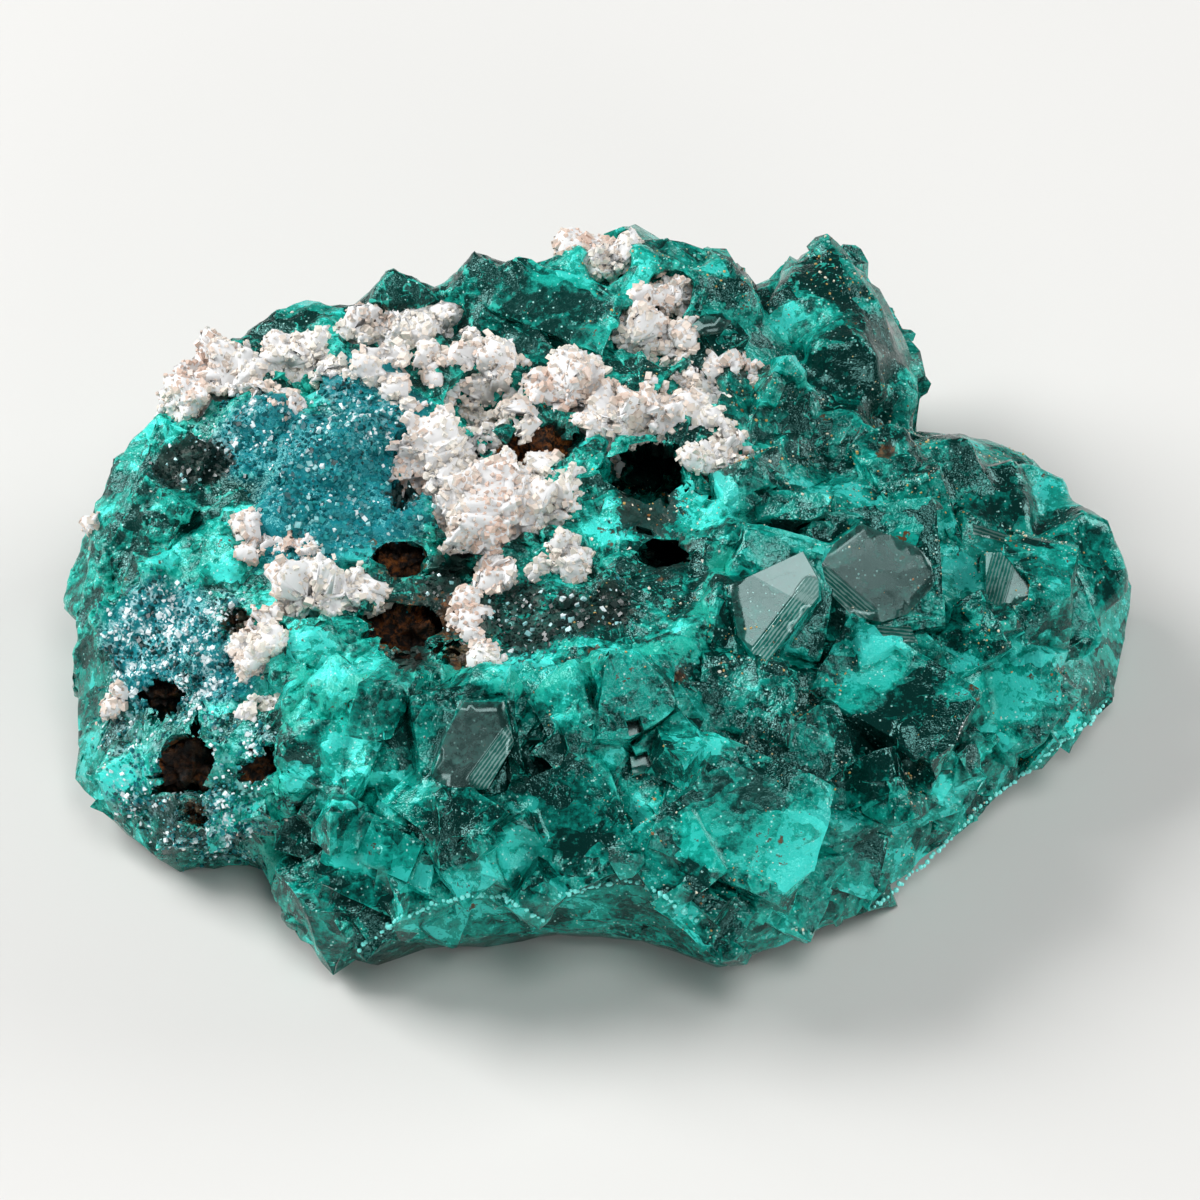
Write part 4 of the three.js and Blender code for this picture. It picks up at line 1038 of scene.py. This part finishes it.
def lumpy(mesh, swell, layers, blocky=0.0):
    # moves the skin out by swell, by layers of noise, (size, height) in mm, and by cells; clear of the table
    points = coordinates(mesh)
    out = np.full(len(points), swell)
    if blocky:
        cells = [noise.voronoi(Vector(p) / (0.75 * mm), distance_metric="CHEBYCHEV")[0][:2] for p in points]
        out += blocky * (np.clip([far - near for near, far in cells], 0, 0.4) - 0.2)
    for size, height in layers:
        out += height * fractals(points, size)
    moved = points + coordinates(mesh, "normal") * (out * mm)[:, None]
    moved[:, 2] = np.clip(moved[:, 2], 0.02 * mm, cadBox[1][2] + 0.25 * mm)
    moveTo(mesh, moved)


# Calcite: white sugary masses and lumps in the hollows of the western top

calcite = {"voxel": 0.1, "height": 0.62, "swell": -0.14, "layers": [(1.5, 0.9), (0.6, 0.2), (0.25, 0.12)],
           "blocky": 0.6, "cream": "ece5da", "pink": "dec3b3", "grey": "c2c5c0", "pit": "3a2a20"}
lumps = {"Spacing": 0.24 * mm, "Density": 3e7, "Least": 0.25 * mm, "Most": 0.8 * mm, "Lean": 0.35,
         "Deepest": -0.1 * mm, "Highest": 0.04 * mm, "Seed": 3}
specks = {"Spacing": 0.26 * mm, "Density": 2.2e7, "Least": 0.1 * mm, "Most": 0.5 * mm, "Lean": 0.6,
          "Deepest": -0.08 * mm, "Highest": 0.02 * mm, "Seed": 4}
grains = {"Spacing": 0.21 * mm, "Density": 3e7, "Least": 0.1 * mm, "Most": 0.3 * mm, "Lean": 0.9,
          "Deepest": -0.04 * mm, "Highest": 0.02 * mm, "Seed": 5}


def calciteMaterial():
    material, tree, shader, _, place = newMaterial("calciteSugar")
    inMm = inMillimetres(tree, place)
    clouds, fine = noiseAt(tree, inMm, 0.35, 3.0), noiseAt(tree, inMm, 3.2, 3.0)
    colour = blendColour(tree, stepUp(tree, clouds, 0.44, 0.66), calcite["cream"], calcite["pink"])
    colour = blendColour(tree, stepUp(tree, fine, 0.52, 0.72), colour, calcite["grey"])
    # scattered dark brown specks: painted shade of small pits between the grains
    dark = useGroup(tree, speckGroup, Place=place, Per_mm=3.0, Share=0.2)["Mask"]
    dark = mathNode(tree, "MULTIPLY", dark, stepUp(tree, fine, 0.45, 0.6))
    sparkle = useGroup(tree, shardGroup, Place=inMm, Per_mm=4.5, Stretch=0.9)
    rough = mathNode(tree, "MULTIPLY_ADD", sparkle["Shade"], 0.4, 0.2)
    dress(tree, shader, blendColour(tree, dark, colour, calcite["pit"]), rough, sparkle["Height"], 0.25)
    return material


def buildCalcite():
    material = calciteMaterial()
    ragged = fractals(coordinates(grown), 1.1, 2)
    inPatch = np.clip(masks["sugar"] * 4, 0, 1) * np.clip(1 - 2 * masks["pit"], 0, 1)
    setAttribute(grown, "sugary", inPatch * np.clip(masks["sugar"] * 1.3 + 1.3 * ragged - 0.25, 0, 1))
    sprinkled = np.clip(2.2 * ragged - 0.2, 0, 1) * np.clip(3 * masks["sugar"] + 0.15, 0, 1)
    sprinkled *= np.maximum(1 - masks["field"], 0.8 * masks["haze"])
    sprinkled *= (1 - masks["pit"]) * (1 - 0.7 * masks["druse"])
    setAttribute(grown, "sprinkled", sprinkled)
    spread = runTree(crystalsPiece, scatterTree("calciteLumps", lumps, "sugary", lumpForms), lumps)
    body = openMesh(cadCopy(nodesNamed("calcite"), "calciteCopy"), spread)
    body = closeMesh(body, bpy.data.meshes.new("calciteBody"))
    skin = combine(voxelMesh(body, calcite["voxel"], "calciteSkin"), caveCutters(), "DIFFERENCE")
    flattened(skin, calcite["height"])
    swell = calcite["swell"] - 0.9 * patchMask(coordinates(skin), "pit")
    lumpy(skin, swell, calcite["layers"], calcite["blocky"])
    skin.materials.append(material)
    masses = addPiece("calciteMasses", skin, "calcite", *nodesNamed("calcite"))
    setAttribute(skin, "cover", np.ones(len(skin.vertices)))
    addScattered("calciteGrains", masses, grains, "cover", grainForms, material, "calcite")
    addScattered("calciteSpecks", crystalsPiece, specks, "sprinkled", lumpForms, material, "calcite")


buildCalcite()

# Brown iron-stained rock in the pits

rock = {"voxel": 0.13, "swell": -0.05, "rustSwell": 0.5, "layers": [(1.1, 0.8), (0.4, 0.35)],
        "brown": "4a2d16", "rust": "b86a2c", "black": "0f0b08"}


def buildRock():
    material, tree, shader, _, place = newMaterial("brownRock")
    inMm = inMillimetres(tree, place)
    clouds, fine = noiseAt(tree, inMm, 0.6, 4.0), noiseAt(tree, inMm, 3.5, 5.0, 0.65)
    rusty = mathNode(tree, "ADD", clouds, mathNode(tree, "MULTIPLY", painted(tree, "rusty"), 0.3))
    colour = blendColour(tree, stepUp(tree, rusty, 0.5, 0.72), rock["brown"], rock["rust"])
    colour = blendColour(tree, stepUp(tree, fine, 0.44, 0.6), rock["black"], colour)
    dress(tree, shader, colour, stepUp(tree, fine, 0.9, 0.1), fine, 0.3)
    skin = voxelMesh(cadCopy(nodesNamed("brown"), "rockCopy"), rock["voxel"], "rockSkin")
    rusty = patchMask(coordinates(skin), "rust")
    setAttribute(skin, "rusty", rusty)
    lumpy(skin, rock["swell"] + rock["rustSwell"] * rusty, rock["layers"])
    skin.materials.append(material)
    addPiece("brownRock", skin, "brown_rock", *nodesNamed("brown"))


buildRock()

# Sparkling druse: tiny crystals over the blue-teal zones

druse = {"Spacing": 0.13 * mm, "Density": 6e7, "Least": 0.08 * mm, "Most": 0.22 * mm, "Lean": 0.9,
         "Deepest": -0.03 * mm, "Highest": 0.03 * mm, "Seed": 9}
dust = {"Spacing": 0.1 * mm, "Density": 7e6, "Least": 0.035 * mm, "Most": 0.095 * mm, "Lean": 1.2,
        "Deepest": 0.0, "Highest": 0.02 * mm, "Seed": 23}


def shadedMaterial(name, steps, rough, frosted=False):
    # each small body takes a colour by its own random shade: (from, colour)
    material, tree, shader, _, place = newMaterial(name)
    shade = painted(tree, "shade")
    colour = screenColour(steps[0][1])
    if frosted:  # pale and dark patches where the crust is frosted
        mottle = mathNode(tree, "SUBTRACT", noiseAt(tree, inMillimetres(tree, place), 1.3, 4.0), 0.47)
        mottle = mathNode(tree, "MULTIPLY", mottle, 8.0)
        amount = mathNode(tree, "ADD", painted(tree, "frost"), 0.08, clamp=True)
        shade = mathNode(tree, "ADD", mathNode(tree, "MULTIPLY", mottle, amount), shade)
    for index, (start, code) in enumerate(steps[1:]):
        if frosted and index == 3:  # blackish ground where it is sooty
            dark = stepUp(tree, painted(tree, "sooty"), 0.2, 0.5)
            colour = blendColour(tree, dark, colour, dioptase["sooty"])
        colour = blendColour(tree, stepUp(tree, shade, start, start + 0.04), colour, code)
    dress(tree, shader, colour, rough)
    return material


drusySteps = [(0, "0d3a3c"), (0.0, "0f6068"), (0.33, "1c7c82"), (0.62, "2d9698"), (0.89, "93d0d2"),
              (0.97, "eaf6f8")]
dustSteps = [(0, "e4dcc6"), (0.25, "c9a25c"), (0.55, "9fd9d2"), (0.85, "8a5a2c")]
upFacing = np.clip(coordinates(grown, "normal")[:, 2] * 1.2 + 0.25, 0, 1)
points = coordinates(grown)
eastward = np.clip((points[:, 0] / mm + 6) / 8, 0.12, 1)
clump = np.clip(0.2 + 1.8 * fractals(points, 2.4, 2), 0.04, 1)
setAttribute(grown, "dusty", upFacing * eastward * clump * (1 - 0.5 * masks["plain"]))
grainy = np.maximum.reduce([masks["druse"], masks["frost"], 0.8 * masks["sooty"]])
bare = np.clip(masks["sugar"] + masks["pit"] + 0.8 * masks["stain"], 0, 1)
setAttribute(grown, "drusy", np.clip(grainy * 1.3, 0, 1) * (1 - 0.85 * bare))
drusyMaterial = shadedMaterial("drusySkin", drusySteps, 0.25, frosted=True)
dustMaterial = shadedMaterial("dustSpecks", dustSteps, 0.5)
addScattered("drusySkin", crystalsPiece, druse, "drusy", grainForms, drusyMaterial, "dioptase")
addScattered("dustSpecks", crystalsPiece, dust, "dusty", grainForms, dustMaterial, "dioptase")

# Pale beads in lines along the front rim

beads = {"Step": 0.2 * mm, "Least": 0.13 * mm, "Most": 0.24 * mm}
beadLines = [
    [(-9.4, -13.5), (-7.8, -12.3), (-6.2, -11.7), (-4.8, -11.4), (-3.7, -11.6), (-2.1, -12.5)],
    [(-1.8, -11.4), (0.0, -11.0), (0.9, -10.9), (1.8, -11.2), (2.5, -11.7), (3.5, -12.5)],
    [(10.3, -12.1), (11.7, -10.9), (13.3, -9.6), (14.3, -8.4), (16.0, -7.2), (17.4, -6.0), (18.9, -5.0),
     (19.7, -4.1)],
]


def buildBeads():
    finalTree = asTree(grown)
    corners, edges = [], []
    for line in beadLines:
        for index, (start, end) in enumerate(zip(line, line[1:])):
            for part in range(6):
                right, up = (a + (b - a) * part / 6 for a, b in zip(start, end))
                hit = finalTree.ray_cast(planePoint(right, up, wellOut), -towardViewer)[0]
                if hit is not None:
                    if index or part:
                        edges.append((len(corners) - 1, len(corners)))
                    corners.append(hit)
    mesh = bpy.data.meshes.new("beadPath")
    mesh.from_pydata(corners, edges, [])
    path = newObject("beadPath", mesh)
    tree = newTree("beadTree", beads)
    given = tree.nodes.new("NodeGroupInput").outputs
    curve = addNode(tree, "GeometryNodeMeshToCurve", {0: given["Geometry"]}).outputs[0]
    strides = {"Curve": curve, "Length": given["Step"]}
    places = addNode(tree, "GeometryNodeResampleCurve", strides, mode="LENGTH").outputs[0]
    bead = addNode(tree, "GeometryNodeMeshIcoSphere", {"Radius": 0.5, "Subdivisions": 1}).outputs[0]
    shift = randomBetween(tree, (-0.08 * mm,) * 3, (0.08 * mm,) * 3, 31, vector=True)
    strewn = addNode(tree, "GeometryNodeSetPosition", {"Geometry": places, "Offset": shift}).outputs[0]
    size = randomBetween(tree, given["Least"], given["Most"], 32)
    placing = {"Points": strewn, "Instance": bead, "Scale": size}
    placed = addNode(tree, "GeometryNodeInstanceOnPoints", placing).outputs[0]
    whole = addNode(tree, "GeometryNodeRealizeInstances", {0: placed}).outputs[0]
    coloured = addNode(tree, "GeometryNodeSetMaterial", {"Geometry": whole, "Material": beadMaterial})
    tree.links.new(coloured.outputs[0], tree.nodes.new("NodeGroupOutput").inputs[0])
    addPiece("rimBeads", runTree(path, tree, beads), "dioptase")
    bpy.data.objects.remove(path)


beadMaterial = shadedMaterial("rimBeads", [(0, "7feee6"), (0.7, "c8f7f2")], 0.35)
buildBeads()

# Floor, light and camera

studio = {"floor": "d9d8d5", "world": "c9ccd2", "worldStrength": 0.22}


def makeFloor():
    size = 0.9
    mesh = bpy.data.meshes.new("floor")
    corners = [(-size, -size), (size, -size), (size, size), (-size, size)]
    mesh.from_pydata([(x, y, -0.02 * mm) for x, y in corners], [], [(0, 1, 2, 3)])
    floor = newObject("floor", mesh)
    material, tree, shader, _, _ = newMaterial("palePaper")
    shader.inputs["Base Color"].default_value = screenColour(studio["floor"])
    shader.inputs["Roughness"].default_value = 0.85
    mesh.materials.append(material)


def softBox(name, place, wide, power, colour=(1, 1, 1)):
    light = bpy.data.lights.new(name, "AREA")
    light.size = wide * mm
    light.energy = power
    light.color = colour
    obj = bpy.data.objects.new(name, light)
    obj.location = Vector(place) * mm
    aim = Vector((0, 0, 6 * mm)) - obj.location
    obj.rotation_euler = aim.to_track_quat("-Z", "Y").to_euler()
    bpy.context.scene.collection.objects.link(obj)


def makeLight():
    softBox("keyLight", (-330, 120, 290), 260, 2.4)
    softBox("frontLight", (160, -440, 120), 220, 0.7)
    softBox("rightLight", (380, 120, 180), 220, 1.0)
    softBox("overheadLight", (50, -160, 390), 150, 0.5)
    world = bpy.data.worlds.new("studio")
    bpy.context.scene.world = world
    world.use_nodes = True
    background = world.node_tree.nodes["Background"]
    background.inputs["Color"].default_value = screenColour(studio["world"])
    background.inputs["Strength"].default_value = studio["worldStrength"]


def makeCamera():
    photoWidth = 1200 / 25.6  # mm across the photograph, at 25.6 of its pixels to the mm
    middleOut = 8.0  # the specimen's middle depth, towards the viewer
    distance = 390.0
    camera = bpy.data.cameras.new("camera")
    camera.sensor_width = 36
    camera.lens = 36 * distance / photoWidth
    camera.clip_start = 0.01
    obj = bpy.data.objects.new("camera", camera)
    obj.location = planePoint(-0.25, -0.25, middleOut + distance)  # puts the specimen where the photo has it
    obj.rotation_euler = (-towardViewer).to_track_quat("-Z", "Y").to_euler()
    bpy.context.scene.collection.objects.link(obj)
    bpy.context.scene.camera = obj


makeFloor()
makeLight()
makeCamera()
bpy.context.scene.view_settings.view_transform = "Standard"
